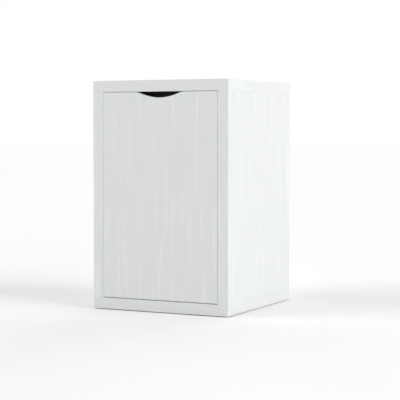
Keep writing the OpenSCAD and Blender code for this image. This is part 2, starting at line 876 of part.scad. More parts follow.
module slide_inners() {
    color(STEEL) at_both_sides() translate([0, slide_y, slide_z]) {
        bar(car_x, car_x + member_t, 0, member_len, -in_half, in_half);
        for (s = [-in_half, in_half - member_t])
            bar(car_x, car_x + slide_w / 2 - 2, 0, member_len, s, s + member_t);
    }
}

module left_slide_middle() {
    mirror([1, 0, 0]) slide_middle();
}

module right_slide_middle() {
    slide_middle();
}

ball_r = ball_gap / 2 - 0.05;
cage_t = 1;
cage_len = 0.6 * slide_len;
cage_y = 0.3 * slide_len;                     // front end of a cage when the drawer is shut
ball_count = 9;

// Ball retainer: a channel of sheet metal with a row of balls along both edges
module cage(x0, x1, ball_x, half) {
    color(STEEL) translate([0, slide_y + cage_y, slide_z]) {
        bar(x1 - cage_t, x1, 0, cage_len, -half - cage_t / 2, half + cage_t / 2);
        for (z = [-half, half]) {
            bar(x0, x1, 0, cage_len, z - cage_t / 2, z + cage_t / 2);
            for (i = [0 : ball_count - 1])
                translate([ball_x, (i + 0.5) * cage_len / ball_count, z]) sphere(ball_r);
        }
    }
}

module outer_cages() {
    at_both_sides() cage(car_x + 7, column_face - member_t - 0.5, car_x + slide_w / 2 + 1,
        slide_h / 2 - member_t - ball_gap / 2);
}

module inner_cages() {
    at_both_sides() cage(car_x + 3.3, car_x + slide_w / 2 - 0.75, car_x + 5.2,
        mid_half - member_t - ball_gap / 2);
}

module drawer_stops() {
    color(DARK) at_both_sides() translate([0, slide_y + member_len + 0.7, slide_z])
        bar(car_x + 2, column_face - member_t, 0, stop_len, -mid_half, mid_half);
}

spacer_w = 40;
spacer_t = 2;

module slide_spacers() {
    h = slide_h / 2 - 1;
    color(STEEL) at_both_sides() for (y = [slide_y + 14, slide_y + slide_len - 60])
        translate([0, y, slide_z]) {
            bar(column_face, column_face + spacer_t, 0, spacer_w, -h, h);
            bar(in_x - spacer_t, in_x, 0, spacer_w, -h, h);
            bar(column_face, in_x, 0, spacer_t, -h, h);
        }
}

// ---------------------------------------------------------------- controls and wiring

module control_panel() {
    half = panel_w / 2;
    z0 = ceil_z - panel_h;
    color(DARK) difference() {
        bar(-half, half, panel_y, panel_y + panel_depth, z0, ceil_z);
        bar(-half + 2, half - 2, panel_y + 3, panel_y + panel_depth + 1, z0 + 2, ceil_z - 2);
        for (x = [start_x, stop_x]) translate([x, panel_y - 1, control_z])
            rotate([-90, 0, 0]) cylinder(r = button_r + 0.3, h = 6);
        translate([lock_x, panel_y - 1, control_z]) rotate([-90, 0, 0]) cylinder(r = lock_r + 0.3, h = 6);
        translate([lens_x, panel_y - 1, control_z]) rotate([-90, 0, 0]) cylinder(r = lens_r + 0.02, h = 6);
    }
}

// A round cap along Y, standing out of the control panel
module control_cap(x, r, out, inside) {
    translate([x, panel_y - out, control_z]) rotate([-90, 0, 0]) cylinder(r = r, h = out + inside);
}

module start_button() {
    color([0.25, 0.60, 0.35]) control_cap(start_x, button_r, button_out, 8);
}

module stop_button() {
    color([0.75, 0.16, 0.14]) control_cap(stop_x, button_r, button_out, 8);
}

module key_lock() {
    color(STEEL) difference() {
        union() {
            control_cap(lock_x, lock_r, 1.5, 12);
            bar(lock_x - 1.2, lock_x + 1.2, panel_y - 8.5, panel_y - 1, control_z - 7, control_z + 7);
        }
        translate([lock_x, 0, control_z]) rotate([90, 0, 0])
            translate([0, 4.6, 0]) cylinder(r = 1, h = case_d);
    }
}

module indicator_lens() {
    color([0.75, 0.85, 0.75]) control_cap(lens_x, lens_r, 0.8, 5);
}

box_size = [120, 50, 130];
box_x = -in_x + 20;
box_z = tray_z + 92;

module control_box() {
    color(DARK) difference() {
        bar(box_x, box_x + box_size.x, back_in - box_size.y, back_in, box_z, box_z + box_size.z);
        bar(box_x + 2.5, box_x + box_size.x - 2.5, back_in - box_size.y + 2.5, back_in + 1,
            box_z + 2.5, box_z + box_size.z - 2.5);
    }
}

module power_inlet() {
    color(DARK) translate([inlet_x, 0, inlet_z]) {
        difference() {
            union() {
                bar(-inlet_w / 2, inlet_w / 2, back_in - 18, back_out + eps, -inlet_h / 2, inlet_h / 2);
                bar(-inlet_flange.x / 2, inlet_flange.x / 2, back_out, back_out + 3,
                    -inlet_flange.y / 2, inlet_flange.y / 2);
            }
            bar(-inlet_w / 2 + 1.5, inlet_w / 2 - 1.5, back_in - 14, back_out + 4,
                -inlet_h / 2 + 2, inlet_h / 2 - 2);
        }
        for (p = [[-7, -1], [0, 2], [7, -1]])
            bar(p.x - 1, p.x + 1, back_in - 15, back_out - 2, p.y - 2.5, p.y + 2.5);
    }
}

cable_r = 2.5;
cable_y = back_in - 8;
cable_top = ceil_z - cable_r - 0.8;
loom_x = box_x + 30;

module wiring_harness() {
    box_face = box_x + box_size.x;
    motor_side = motor_x - motor_r;
    color(DARK) {
        // mains lead, from the inlet to the control box
        cable([[inlet_x, back_in - 18, inlet_z], [inlet_x, cable_y - 18, inlet_z],
            [inlet_x, cable_y - 18, box_z + 110], [inlet_x - 20, cable_y, box_z + 110],
            [box_face, cable_y, box_z + 110]], cable_r);
        // motor lead
        cable([[box_face, cable_y, box_z + 20], [box_face + 30, cable_y, box_z + 20],
            [motor_side - 16, drive_y + 10, box_z + 20], [motor_side - 3.5, drive_y, box_z + 20]], cable_r);
        // control lead, up the back and along the ceiling
        cable([[loom_x, cable_y - 12, box_z + box_size.z], [loom_x, cable_y - 12, cable_top],
            [loom_x, panel_y + panel_depth + 30, cable_top],
            [-panel_w / 2 + 30, panel_y + panel_depth + 10, cable_top - 6],
            [-panel_w / 2 + 30, panel_y + panel_depth - 6, cable_top - 8]], cable_r);
    }
}

module drawer_sensor() {
    color(DARK) bar(bridge_x0 + 10, bridge_x0 + 30, bridge_y0, bridge_y0 + 12, bridge_z, tray_z + 30);
}

// ---------------------------------------------------------------- the nodes

top_panel();
bottom_panel();
left_panel();
right_panel();
back_panel();
panel_dowels();
back_screws();
floor_glides();
base_plate();
left_column();
right_column();
top_beam();
frame_bolts();
deck();
press_rails();
foot_bearings();
top_bushes();
motor_bridge();
gearcase();
gearcase_lid();
motor_body();
motor_cap();
drive_chain();
control_box();
power_inlet();
wiring_harness();
control_panel();
indicator_lens();
slide_outers();
slide_spacers();
drawer_stops();
drawer_sensor();
drawer_front();
finger_cup();
front_frame();
front_screws();
carriage();
bin();
slide_inners();
left_slide_middle();
right_slide_middle();
outer_cages();
inner_cages();
ram_plate();
ram_shell();
crosshead();
power_nuts();
guide_shoes();
left_screw();
right_screw();
left_sprocket();
right_sprocket();
drive_shaft();
drive_sprocket();
reduction_gear();
motor_rotor();
start_button();
stop_button();
key_lock();
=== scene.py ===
"""Looks of a cabinet trash compactor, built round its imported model.

Every length is in metres in the model's own frame: +Z up, -Y out of the drawer front, and the
origin in the middle of the footprint on the floor. Each sub-assembly is a class that builds its
pieces and dresses them; each finish is a frozen dataclass that builds one material.
"""

import json
import logging
import math
from dataclasses import dataclass, field
from enum import Enum
from typing import Callable, Iterable, Sequence

import bmesh
import bpy
from mathutils import Matrix, Vector

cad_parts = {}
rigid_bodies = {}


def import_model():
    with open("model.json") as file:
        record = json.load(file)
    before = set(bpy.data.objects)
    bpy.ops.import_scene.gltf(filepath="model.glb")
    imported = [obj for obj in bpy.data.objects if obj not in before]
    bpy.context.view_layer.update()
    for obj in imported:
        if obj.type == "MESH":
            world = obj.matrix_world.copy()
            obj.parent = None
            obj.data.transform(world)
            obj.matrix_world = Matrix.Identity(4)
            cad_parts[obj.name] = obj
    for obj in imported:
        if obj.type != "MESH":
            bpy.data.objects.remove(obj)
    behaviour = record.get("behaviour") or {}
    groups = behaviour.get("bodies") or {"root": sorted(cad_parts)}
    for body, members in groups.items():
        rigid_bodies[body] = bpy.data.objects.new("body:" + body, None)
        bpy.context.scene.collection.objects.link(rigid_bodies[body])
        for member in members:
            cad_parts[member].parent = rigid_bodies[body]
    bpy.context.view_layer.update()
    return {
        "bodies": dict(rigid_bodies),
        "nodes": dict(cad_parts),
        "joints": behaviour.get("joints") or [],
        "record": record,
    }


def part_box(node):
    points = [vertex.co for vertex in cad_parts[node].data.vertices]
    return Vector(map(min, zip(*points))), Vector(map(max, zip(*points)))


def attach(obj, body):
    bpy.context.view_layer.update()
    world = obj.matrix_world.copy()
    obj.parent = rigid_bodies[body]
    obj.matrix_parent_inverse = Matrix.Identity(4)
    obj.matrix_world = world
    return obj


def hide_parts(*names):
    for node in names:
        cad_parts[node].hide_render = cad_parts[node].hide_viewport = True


log = logging.getLogger("compactor")

TURN = 2 * math.pi


# ---------------------------------------------------------------------------------- node helpers


@dataclass
class Graph:
    """Adds and links nodes in one node tree.

    Attributes:
        tree: The node tree that the nodes go into.
    """

    tree: bpy.types.NodeTree

    def node(self, kind: str, sockets: dict | None = None, **settings) -> bpy.types.Node:
        """Adds a node.

        Args:
            kind: The node's type name.
            sockets: Input names or numbers, each with a value or a socket to link from.
            **settings: Properties of the node itself.

        Returns:
            The new node.
        """
        node = self.tree.nodes.new(kind)
        for name, value in settings.items():
            setattr(node, name, value)
        for name, value in (sockets or {}).items():
            if isinstance(value, bpy.types.NodeSocket):
                self.tree.links.new(value, node.inputs[name])
            else:
                node.inputs[name].default_value = value
        return node

    def math(self, operation: str, *values) -> bpy.types.NodeSocket:
        """Adds a Math node and returns its result."""
        sockets = dict(enumerate(values))
        return self.node("ShaderNodeMath", sockets, operation=operation).outputs[0]

    def span(self, value, low: float, high: float, to_low: float, to_high: float):
        """Maps a value smoothly from one span to another and returns the result."""
        sockets = {"Value": value, "From Min": low, "From Max": high, "To Min": to_low, "To Max": to_high}
        node = self.node("ShaderNodeMapRange", sockets, interpolation_type="SMOOTHSTEP")
        return node.outputs["Result"]

    def blend(self, factor, first, second) -> bpy.types.NodeSocket:
        """Mixes two colours and returns the result."""
        node = self.node("ShaderNodeMix", {"Factor": factor}, data_type="RGBA")
        for name, value in (("A", first), ("B", second)):
            socket = next(s for s in node.inputs if s.name == name and s.type == "RGBA")
            if isinstance(value, bpy.types.NodeSocket):
                self.tree.links.new(value, socket)
            else:
                socket.default_value = (*value, 1.0)
        return next(s for s in node.outputs if s.type == "RGBA")

    def stretched(self, vector, scale: Sequence[float], offset: Sequence[float] = (0, 0, 0)):
        """Scales and shifts a coordinate and returns it."""
        sockets = {"Vector": vector, "Scale": tuple(scale), "Location": tuple(offset)}
        return self.node("ShaderNodeMapping", sockets).outputs["Vector"]

    def noise(self, vector, scale: float, detail: float = 2.0, rough: float = 0.5, flat: bool = False):
        """Adds a Noise texture and returns its value."""
        sockets = {"Vector": vector, "Scale": scale, "Detail": detail, "Roughness": rough}
        dimensions = "2D" if flat else "3D"
        return self.node("ShaderNodeTexNoise", sockets, noise_dimensions=dimensions).outputs[0]


@dataclass(frozen=True)
class Effect:
    """A surface effect that several finishes share, kept as one node group.

    Attributes:
        name: Name of the node group.
        inputs: Label, socket type and default of each input.
        outputs: Label and socket type of each output.
        fill: Function that builds the group's inside.
    """

    name: str
    inputs: tuple[tuple[str, str, object], ...]
    outputs: tuple[tuple[str, str], ...]
    fill: Callable[["Graph", bpy.types.Node, bpy.types.Node], None]

    def group(self) -> bpy.types.NodeTree:
        """Returns the node group, building it the first time."""
        tree = bpy.data.node_groups.get(self.name)
        if tree is None:
            tree = bpy.data.node_groups.new(self.name, "ShaderNodeTree")
            for label, kind, value in self.inputs:
                socket = tree.interface.new_socket(label, in_out="INPUT", socket_type=kind)
                if value is not None:
                    socket.default_value = value
            for label, kind in self.outputs:
                tree.interface.new_socket(label, in_out="OUTPUT", socket_type=kind)
            graph = Graph(tree)
            self.fill(graph, graph.node("NodeGroupInput"), graph.node("NodeGroupOutput"))
        return tree

    def place(self, graph: Graph, **values) -> bpy.types.Node:
        """Places the effect in a material.

        Args:
            graph: The material's graph.
            **values: Input values or links, by label with underscores for spaces.

        Returns:
            The group node.
        """
        sockets = {label.replace("_", " "): value for label, value in values.items()}
        node = graph.node("ShaderNodeGroup", node_tree=self.group())
        for label, value in sockets.items():
            if isinstance(value, bpy.types.NodeSocket):
                graph.tree.links.new(value, node.inputs[label])
            else:
                node.inputs[label].default_value = value
        return node


def fill_wood_grain(graph: Graph, start: bpy.types.Node, end: bpy.types.Node) -> None:
    """Builds soft grain: tapered pale veins in clusters, short flecks, fine fibres and a few knots.

    Args:
        graph: The group's graph.
        start: The group's input node. Its Vector runs across the grain on X and along it on Y.
        end: The group's output node.
    """
    place = start.outputs["Vector"]
    split = graph.node("ShaderNodeSeparateXYZ", {"Vector": place})
    # knots lie in tall cells, one in each, and push the grain aside
    cells = graph.stretched(place, (4.1, 2.3, 0))
    knot = graph.node("ShaderNodeTexVoronoi", {"Vector": cells, "Scale": 1.0}, voronoi_dimensions="2D")
    near = graph.span(knot.outputs["Distance"], 0.0, 0.20, 1.0, 0.0)
    core = graph.span(knot.outputs["Distance"], 0.0, 0.030, 1.0, 0.0)
    core = graph.math("MULTIPLY", core, start.outputs["Knots"])
    sway = graph.noise(graph.stretched(place, (4.5, 0.9, 0)), 1.0, 2.0, 0.45, flat=True)
    waves = graph.noise(graph.stretched(place, (9.0, 3.6, 0), (5.3, 2.7, 0)), 1.0, 1.0, 0.5, flat=True)
    across = graph.math("MULTIPLY_ADD", sway, 0.09, split.outputs["X"])
    across = graph.math("MULTIPLY_ADD", graph.math("MULTIPLY", waves, start.outputs["Waves"]), 0.06, across)
    across = graph.math("MULTIPLY_ADD", near, 0.016, across)
    grain = graph.node("ShaderNodeCombineXYZ", {"X": across, "Y": split.outputs["Y"]}).outputs[0]
    # clusters of pale veins follow the swayed grain and taper at both ends
    broad = graph.noise(graph.stretched(grain, (46, 2.9, 0)), 1.0, 1.0, 0.4, flat=True)
    finer = graph.noise(graph.stretched(grain, (210, 5.5, 0), (3.1, 1.4, 0)), 1.0, 1.0, 0.5, flat=True)
    flecks = graph.noise(graph.stretched(grain, (150, 13, 0), (1.9, 8.3, 0)), 1.0, 1.0, 0.5, flat=True)
    cluster = graph.span(broad, 0.52, 0.76, 0.0, 1.0)
    vein = graph.math("MULTIPLY", cluster, graph.span(finer, 0.36, 0.64, 0.35, 1.0))
    vein = graph.math("MAXIMUM", vein, graph.span(flecks, 0.68, 0.86, 0.0, 0.7))
    vein = graph.math("MULTIPLY", vein, start.outputs["Veins"])
    # fibres: hair-thin streaks over broader ones, and a slow change of tone
    fibre = graph.noise(graph.stretched(grain, (560, 9.0, 0)), 1.0, 2.0, 0.5, flat=True)
    streak = graph.noise(graph.stretched(grain, (95, 3.4, 0)), 1.0, 2.0, 0.5, flat=True)
    slow = graph.noise(graph.stretched(place, (11, 1.9, 0)), 1.0, 1.0, 0.5, flat=True)
    tone = graph.math("MULTIPLY_ADD", fibre, 0.16, 0.05)
    tone = graph.math("MULTIPLY_ADD", streak, 0.22, tone)
    tone = graph.math("MULTIPLY_ADD", slow, 0.14, tone)
    tone = graph.math("MULTIPLY_ADD", vein, 0.50, tone)
    tone = graph.math("MULTIPLY_ADD", core, 0.45, tone)
    height = graph.math("MULTIPLY_ADD", fibre, 0.25, graph.math("MULTIPLY", streak, 0.35))
    height = graph.math("MULTIPLY_ADD", vein, 0.4, height)
    height = graph.math("MULTIPLY_ADD", core, 0.5, height)
    graph.tree.links.new(tone, end.inputs["Tone"])
    graph.tree.links.new(height, end.inputs["Height"])


def fill_brushing(graph: Graph, start: bpy.types.Node, end: bpy.types.Node) -> None:
    """Builds fine scratches that run one way, over cloudy patches.

    Args:
        graph: The group's graph.
        start: The group's input node.
        end: The group's output node.
    """
    stretch = graph.node("ShaderNodeVectorMath", {0: start.outputs["Vector"], 1: start.outputs["Stretch"]},
                         operation="MULTIPLY").outputs[0]
    lines = graph.noise(stretch, 1.0, 3.0, 0.65)
    clouds = graph.noise(start.outputs["Vector"], 9.0, 3.0, 0.55)
    graph.tree.links.new(lines, end.inputs["Lines"])
    graph.tree.links.new(clouds, end.inputs["Clouds"])


def fill_speckle(graph: Graph, start: bpy.types.Node, end: bpy.types.Node) -> None:
    """Builds a fine pebbled texture, as on powder coat, castings and moulded plastic.

    Args:
        graph: The group's graph.
        start: The group's input node.
        end: The group's output node.
    """
    size = start.outputs["Grains per metre"]
    pebbles = graph.node("ShaderNodeTexVoronoi", {"Vector": start.outputs["Vector"], "Scale": size})
    fine = graph.node("ShaderNodeTexNoise", {"Vector": start.outputs["Vector"], "Scale": size, "Detail": 2.0})
    rounded = graph.span(pebbles.outputs["Distance"], 0.0, 0.9, 1.0, 0.0)
    height = graph.math("MULTIPLY_ADD", fine.outputs[0], 0.6, rounded)
    clouds = graph.noise(start.outputs["Vector"], 14.0, 3.0, 0.6)
    graph.tree.links.new(height, end.inputs["Height"])
    graph.tree.links.new(clouds, end.inputs["Clouds"])


def fill_handling(graph: Graph, start: bpy.types.Node, end: bpy.types.Node) -> None:
    """Builds the faint marks of use: soft smudges, and dust that thickens towards the floor.

    Args:
        graph: The group's graph.
        start: The group's input node.
        end: The group's output node.
    """
    place = start.outputs["Vector"]
    smears = graph.noise(graph.stretched(place, (7.0, 7.0, 4.0)), 1.0, 4.0, 0.55)
    smudge = graph.span(smears, 0.48, 0.72, 0.0, 1.0)
    smudge = graph.math("MULTIPLY", smudge, start.outputs["Smudges"])
    height = graph.node("ShaderNodeSeparateXYZ", {"Vector": place}).outputs["Z"]
    low = graph.span(height, 0.0, start.outputs["Dust height"], 1.0, 0.0)
    motes = graph.noise(place, 160.0, 3.0, 0.7)
    dust = graph.math("MULTIPLY", low, graph.span(motes, 0.35, 0.75, 0.2, 1.0))
    dust = graph.math("MULTIPLY", dust, start.outputs["Dust"])
    graph.tree.links.new(smudge, end.inputs["Smudge"])
    graph.tree.links.new(dust, end.inputs["Dust"])


VECTOR = ("Vector", "NodeSocketVector", None)
WOOD_GRAIN = Effect(
    "wood grain",
    (VECTOR, ("Veins", "NodeSocketFloat", 1.0), ("Knots", "NodeSocketFloat", 1.0),
     ("Waves", "NodeSocketFloat", 0.0)),
    (("Tone", "NodeSocketFloat"), ("Height", "NodeSocketFloat")),
    fill_wood_grain,
)
BRUSHING = Effect(
    "brushing",
    (VECTOR, ("Stretch", "NodeSocketVector", (400.0, 400.0, 400.0))),
    (("Lines", "NodeSocketFloat"), ("Clouds", "NodeSocketFloat")),
    fill_brushing,
)
SPECKLE = Effect(
    "speckle",
    (VECTOR, ("Grains per metre", "NodeSocketFloat", 900.0)),
    (("Height", "NodeSocketFloat"), ("Clouds", "NodeSocketFloat")),
    fill_speckle,
)
HANDLING = Effect(
    "handling",
    (VECTOR, ("Smudges", "NodeSocketFloat", 0.5), ("Dust", "NodeSocketFloat", 0.3),
     ("Dust height", "NodeSocketFloat", 0.06)),
    (("Smudge", "NodeSocketFloat"), ("Dust", "NodeSocketFloat")),
    fill_handling,
)


# ---------------------------------------------------------------------------------- finishes


class Grain(Enum):
    """Which way wood grain runs, as (across, along) weights on X, Y and Z."""

    UPRIGHT = ((1.0, 1.0, 0.0), (0.0, 0.0, 1.0))
    ALONG_X = ((0.0, 1.0, 1.0), (1.0, 0.0, 0.0))
    ALONG_Y = ((1.0, 0.0, 1.0), (0.0, 1.0, 0.0))


class Brush(Enum):
    """Which way a metal is brushed, drawn or ground, as noise stretch on X, Y and Z."""

    ALONG_X = (18.0, 900.0, 900.0)
    ALONG_Y = (900.0, 18.0, 900.0)
    ROUND = (60.0, 60.0, 1400.0)
    NONE = (140.0, 140.0, 140.0)


@dataclass(frozen=True)
class Finish:
    """Base of all finishes: builds one material and keeps it.

    Attributes:
        name: Name of the material.
    """

    name: str

    def material(self) -> bpy.types.Material:
        """Returns the material, building it the first time."""
        material = bpy.data.materials.get(self.name)
        if material is None:
            material = bpy.data.materials.new(self.name)
            material.use_nodes = True
            material.node_tree.nodes.clear()
            graph = Graph(material.node_tree)
            shader = graph.node("ShaderNodeBsdfPrincipled")
            place = graph.node("ShaderNodeTexCoord").outputs["Object"]
            self.shade(graph, shader, place)
            graph.node("ShaderNodeOutputMaterial", {"Surface": shader.outputs[0]})
        return material

    def shade(self, graph: Graph, shader: bpy.types.Node, place: bpy.types.NodeSocket) -> None:
        """Fills the material. Each finish has its own.

        Args:
            graph: The material's graph.
            shader: The material's Principled node.
            place: Object coordinates, in metres.
        """
        raise NotImplementedError

    @staticmethod
    def emboss(graph: Graph, shader: bpy.types.Node, height, depth: float) -> None:
        """Feeds a height into the shader's normal.

        Args:
            graph: The material's graph.
            shader: The material's Principled node.
            height: Height socket, 0 to about 1.
            depth: Depth of the relief in metres.
        """
        bump = graph.node("ShaderNodeBump", {"Height": height, "Distance": depth, "Strength": 1.0})
        graph.tree.links.new(bump.outputs["Normal"], shader.inputs["Normal"])


@dataclass(frozen=True)
class PaintedWood(Finish):
    """Satin white over straight-grained wood, so that only the veins and fibres show.

    Attributes:
        grain: Which way the grain runs.
        pale: Colour on the veins.
        deep: Colour between them.
        offset: Shift of the pattern, so that two boards never match.
        veins: Strength of the veins.
        knots: Strength of the knots.
        waves: How far the grain wanders from straight.
    """

    grain: Grain = Grain.UPRIGHT
    pale: tuple[float, float, float] = (0.786, 0.804, 0.801)
    deep: tuple[float, float, float] = (0.693, 0.713, 0.708)
    offset: tuple[float, float] = (0.0, 0.0)
    veins: float = 1.0
    knots: float = 1.0
    waves: float = 0.0

    def shade(self, graph: Graph, shader: bpy.types.Node, place: bpy.types.NodeSocket) -> None:
        """Lays the grain flat on whichever face it meets."""
        across, along = self.grain.value
        flat = graph.node("ShaderNodeCombineXYZ")
        for axis, weights, shift in (("X", across, self.offset[0]), ("Y", along, self.offset[1])):
            dot = graph.node("ShaderNodeVectorMath", {0: place, 1: weights}, operation="DOT_PRODUCT")
            moved = graph.math("ADD", dot.outputs["Value"], shift)
            graph.tree.links.new(moved, flat.inputs[axis])
        wood = WOOD_GRAIN.place(graph, Vector=flat.outputs[0], Veins=self.veins, Knots=self.knots,
                                Waves=self.waves)
        used = HANDLING.place(graph, Vector=place, Smudges=0.5, Dust=0.25)
        colour = graph.blend(wood.outputs["Tone"], self.deep, self.pale)
        colour = graph.blend(used.outputs["Dust"], colour, (0.60, 0.59, 0.56))
        graph.tree.links.new(colour, shader.inputs["Base Color"])
        rough = graph.math("MULTIPLY_ADD", wood.outputs["Tone"], -0.10, 0.62)
        rough = graph.math("MULTIPLY_ADD", used.outputs["Smudge"], 0.07, rough)
        graph.tree.links.new(rough, shader.inputs["Roughness"])
        shader.inputs["Specular IOR Level"].default_value = 0.28
        self.emboss(graph, shader, wood.outputs["Height"], 0.00005)


@dataclass(frozen=True)
class BareWood(Finish):
    """Unpainted beech, for the dowels."""

    def shade(self, graph: Graph, shader: bpy.types.Node, place: bpy.types.NodeSocket) -> None:
        """Runs brown flecks along the rod."""
        lines = graph.noise(graph.stretched(place, (900, 900, 60)), 1.0, 2.0)
        colour = graph.blend(lines, (0.60, 0.42, 0.25), (0.74, 0.57, 0.38))
        graph.tree.links.new(colour, shader.inputs["Base Color"])
        shader.inputs["Roughness"].default_value = 0.7


@dataclass(frozen=True)
class Metal(Finish):
    """Bare or plated metal with the marks of how it was made.

    Attributes:
        bright: Colour on the clean parts.
        dull: Colour in the cloudy patches.
        rough: Roughness of the clean parts.
        spread: How much rougher the cloudy patches are.
        brush: Which way the marks run.
        depth: Depth of the marks in metres.
    """

    bright: tuple[float, float, float] = (0.66, 0.67, 0.69)
    dull: tuple[float, float, float] = (0.50, 0.51, 0.53)
    rough: float = 0.32
    spread: float = 0.22
    brush: Brush = Brush.NONE
    depth: float = 0.00002

    def shade(self, graph: Graph, shader: bpy.types.Node, place: bpy.types.NodeSocket) -> None:
        """Mixes clean and cloudy metal under fine marks."""
        marks = BRUSHING.place(graph, Vector=place, Stretch=self.brush.value)
        used = HANDLING.place(graph, Vector=place, Smudges=0.7, Dust=0.1)
        clouds = graph.span(marks.outputs["Clouds"], 0.35, 0.70, 0.0, 1.0)
        tone = graph.math("MULTIPLY_ADD", marks.outputs["Lines"], 0.5, graph.math("MULTIPLY", clouds, 0.5))
        graph.tree.links.new(graph.blend(tone, self.bright, self.dull), shader.inputs["Base Color"])
        rough = graph.math("MULTIPLY_ADD", clouds, self.spread * 0.6, self.rough)
        rough = graph.math("MULTIPLY_ADD", marks.outputs["Lines"], self.spread * 0.4, rough)
        rough = graph.math("MULTIPLY_ADD", used.outputs["Smudge"], 0.10, rough)
        graph.tree.links.new(rough, shader.inputs["Roughness"])
        shader.inputs["Metallic"].default_value = 1.0
        self.emboss(graph, shader, marks.outputs["Lines"], self.depth)


@dataclass(frozen=True)
class Coated(Finish):
    """Powder coat, a casting or moulded plastic: an even colour over a pebbled surface.

    Attributes:
        colour: Main colour.
        worn: Colour of the cloudy patches.
        rough: Roughness.
        grains: Grains of the texture in a metre.
        depth: Depth of the texture in metres.
        metallic: 1 for bare metal.
        coat: Weight of a clear coat.
    """

    colour: tuple[float, float, float] = (0.2, 0.2, 0.2)
    worn: tuple[float, float, float] = (0.25, 0.25, 0.25)
    rough: float = 0.5
    grains: float = 1100.0
    depth: float = 0.00003
    metallic: float = 0.0
    coat: float = 0.0

    def shade(self, graph: Graph, shader: bpy.types.Node, place: bpy.types.NodeSocket) -> None:
        """Sets an even colour, a pebbled relief and handling marks."""
        grit = SPECKLE.place(graph, Vector=place, Grains_per_metre=self.grains)
        used = HANDLING.place(graph, Vector=place, Smudges=0.8, Dust=0.12)
        clouds = graph.span(grit.outputs["Clouds"], 0.40, 0.72, 0.0, 1.0)
        colour = graph.blend(clouds, self.colour, self.worn)
        colour = graph.blend(used.outputs["Dust"], colour, (0.42, 0.41, 0.39))
        graph.tree.links.new(colour, shader.inputs["Base Color"])
        rough = graph.math("MULTIPLY_ADD", clouds, 0.10, self.rough)
        rough = graph.math("MULTIPLY_ADD", used.outputs["Smudge"], 0.08, rough)
        graph.tree.links.new(rough, shader.inputs["Roughness"])
        shader.inputs["Metallic"].default_value = self.metallic
        shader.inputs["Coat Weight"].default_value = self.coat
        self.emboss(graph, shader, grit.outputs["Height"], self.depth)


@dataclass(frozen=True)
class Lamp(Finish):
    """The clear green cap of the indicator lamp, with moulded rings under its surface."""

    def shade(self, graph: Graph, shader: bpy.types.Node, place: bpy.types.NodeSocket) -> None:
        """Tints the cap in fine rings."""
        rings = graph.noise(place, 2600.0, 1.0)
        colour = graph.blend(rings, (0.30, 0.55, 0.34), (0.52, 0.76, 0.50))
        graph.tree.links.new(colour, shader.inputs["Base Color"])
        shader.inputs["Roughness"].default_value = 0.12
        shader.inputs["Transmission Weight"].default_value = 0.35
        self.emboss(graph, shader, rings, 0.00002)


TOP_FACE = PaintedWood("white wood, top", Grain.ALONG_X, offset=(0.31, 1.27), knots=0.6, waves=0.5)
TOP_END = PaintedWood("white wood, top ends", Grain.ALONG_Y, offset=(0.62, 2.10), knots=0.4, waves=0.8)
BASE_FACE = PaintedWood("white wood, base", Grain.ALONG_X, offset=(1.73, 0.44), knots=0.3, waves=0.3)
BASE_END = PaintedWood("white wood, base ends", Grain.ALONG_Y, offset=(2.41, 0.80), knots=0.3, waves=0.6)
LEFT_SIDE = PaintedWood("white wood, left side", Grain.UPRIGHT, offset=(3.12, 1.90))
RIGHT_SIDE = PaintedWood("white wood, right side", Grain.UPRIGHT, offset=(4.65, 0.37), knots=0.8)
DOOR = PaintedWood("white wood, drawer front", Grain.UPRIGHT, offset=(5.40, 2.64))
BACK_BOARD = Coated("painted back board", (0.755, 0.770, 0.768), (0.742, 0.757, 0.755), 0.70, 520.0, 0.00004)
BEECH = BareWood("beech")
ZINC = Metal("zinc plate", (0.64, 0.66, 0.69), (0.47, 0.48, 0.49), 0.34, 0.26, Brush.NONE)
ZINC_DRAWN = Metal("drawn zinc plate", (0.66, 0.68, 0.70), (0.50, 0.51, 0.52), 0.28, 0.20, Brush.ALONG_Y)
GROUND = Metal("ground steel", (0.70, 0.70, 0.71), (0.54, 0.54, 0.55), 0.20, 0.16, Brush.ROUND)
STAINLESS = Metal("brushed stainless", (0.66, 0.66, 0.65), (0.52, 0.52, 0.51), 0.30, 0.22, Brush.ALONG_X)
SCREW_STEEL = Metal("rolled thread steel", (0.60, 0.60, 0.61), (0.40, 0.39, 0.38), 0.24, 0.20, Brush.ROUND)
BRONZE = Metal("bearing bronze", (0.72, 0.50, 0.26), (0.52, 0.34, 0.17), 0.30, 0.22, Brush.ROUND)
OILED = Metal("oiled chain", (0.30, 0.29, 0.28), (0.12, 0.11, 0.10), 0.26, 0.25, Brush.NONE)
FRAME_GREY = Coated("grey powder coat", (0.24, 0.26, 0.28), (0.27, 0.29, 0.31), 0.46, 1500.0, 0.00006)
RAM_GREY = Coated("pale powder coat", (0.42, 0.44, 0.45), (0.46, 0.48, 0.49), 0.44, 1500.0, 0.00006)
CASTING = Coated("cast iron", (0.20, 0.20, 0.21), (0.28, 0.27, 0.26), 0.48, 700.0, 0.00012, 0.85)
MOTOR_PAINT = Coated("motor enamel", (0.055, 0.065, 0.075), (0.08, 0.09, 0.10), 0.38, 900.0, 0.00008,
                     coat=0.15)
BLACK = Coated("black moulding", (0.012, 0.012, 0.013), (0.020, 0.020, 0.021), 0.55, 2200.0, 0.00002)
BIN_GREY = Coated("bin moulding", (0.052, 0.057, 0.062), (0.070, 0.075, 0.080), 0.50, 1500.0, 0.00005)
NYLON = Coated("nylon", (0.74, 0.72, 0.66), (0.68, 0.66, 0.60), 0.42, 1200.0, 0.00001)
RUBBER = Coated("rubber", (0.020, 0.020, 0.020), (0.035, 0.034, 0.033), 0.78, 1300.0, 0.00003)
CABLE = Coated("cable sleeve", (0.016, 0.016, 0.017), (0.028, 0.028, 0.029), 0.48, 600.0, 0.00001)
GREEN_CAP = Coated("green cap", (0.030, 0.260, 0.080), (0.040, 0.300, 0.100), 0.26, 1600.0, 0.00001, 0.0, 0.5)
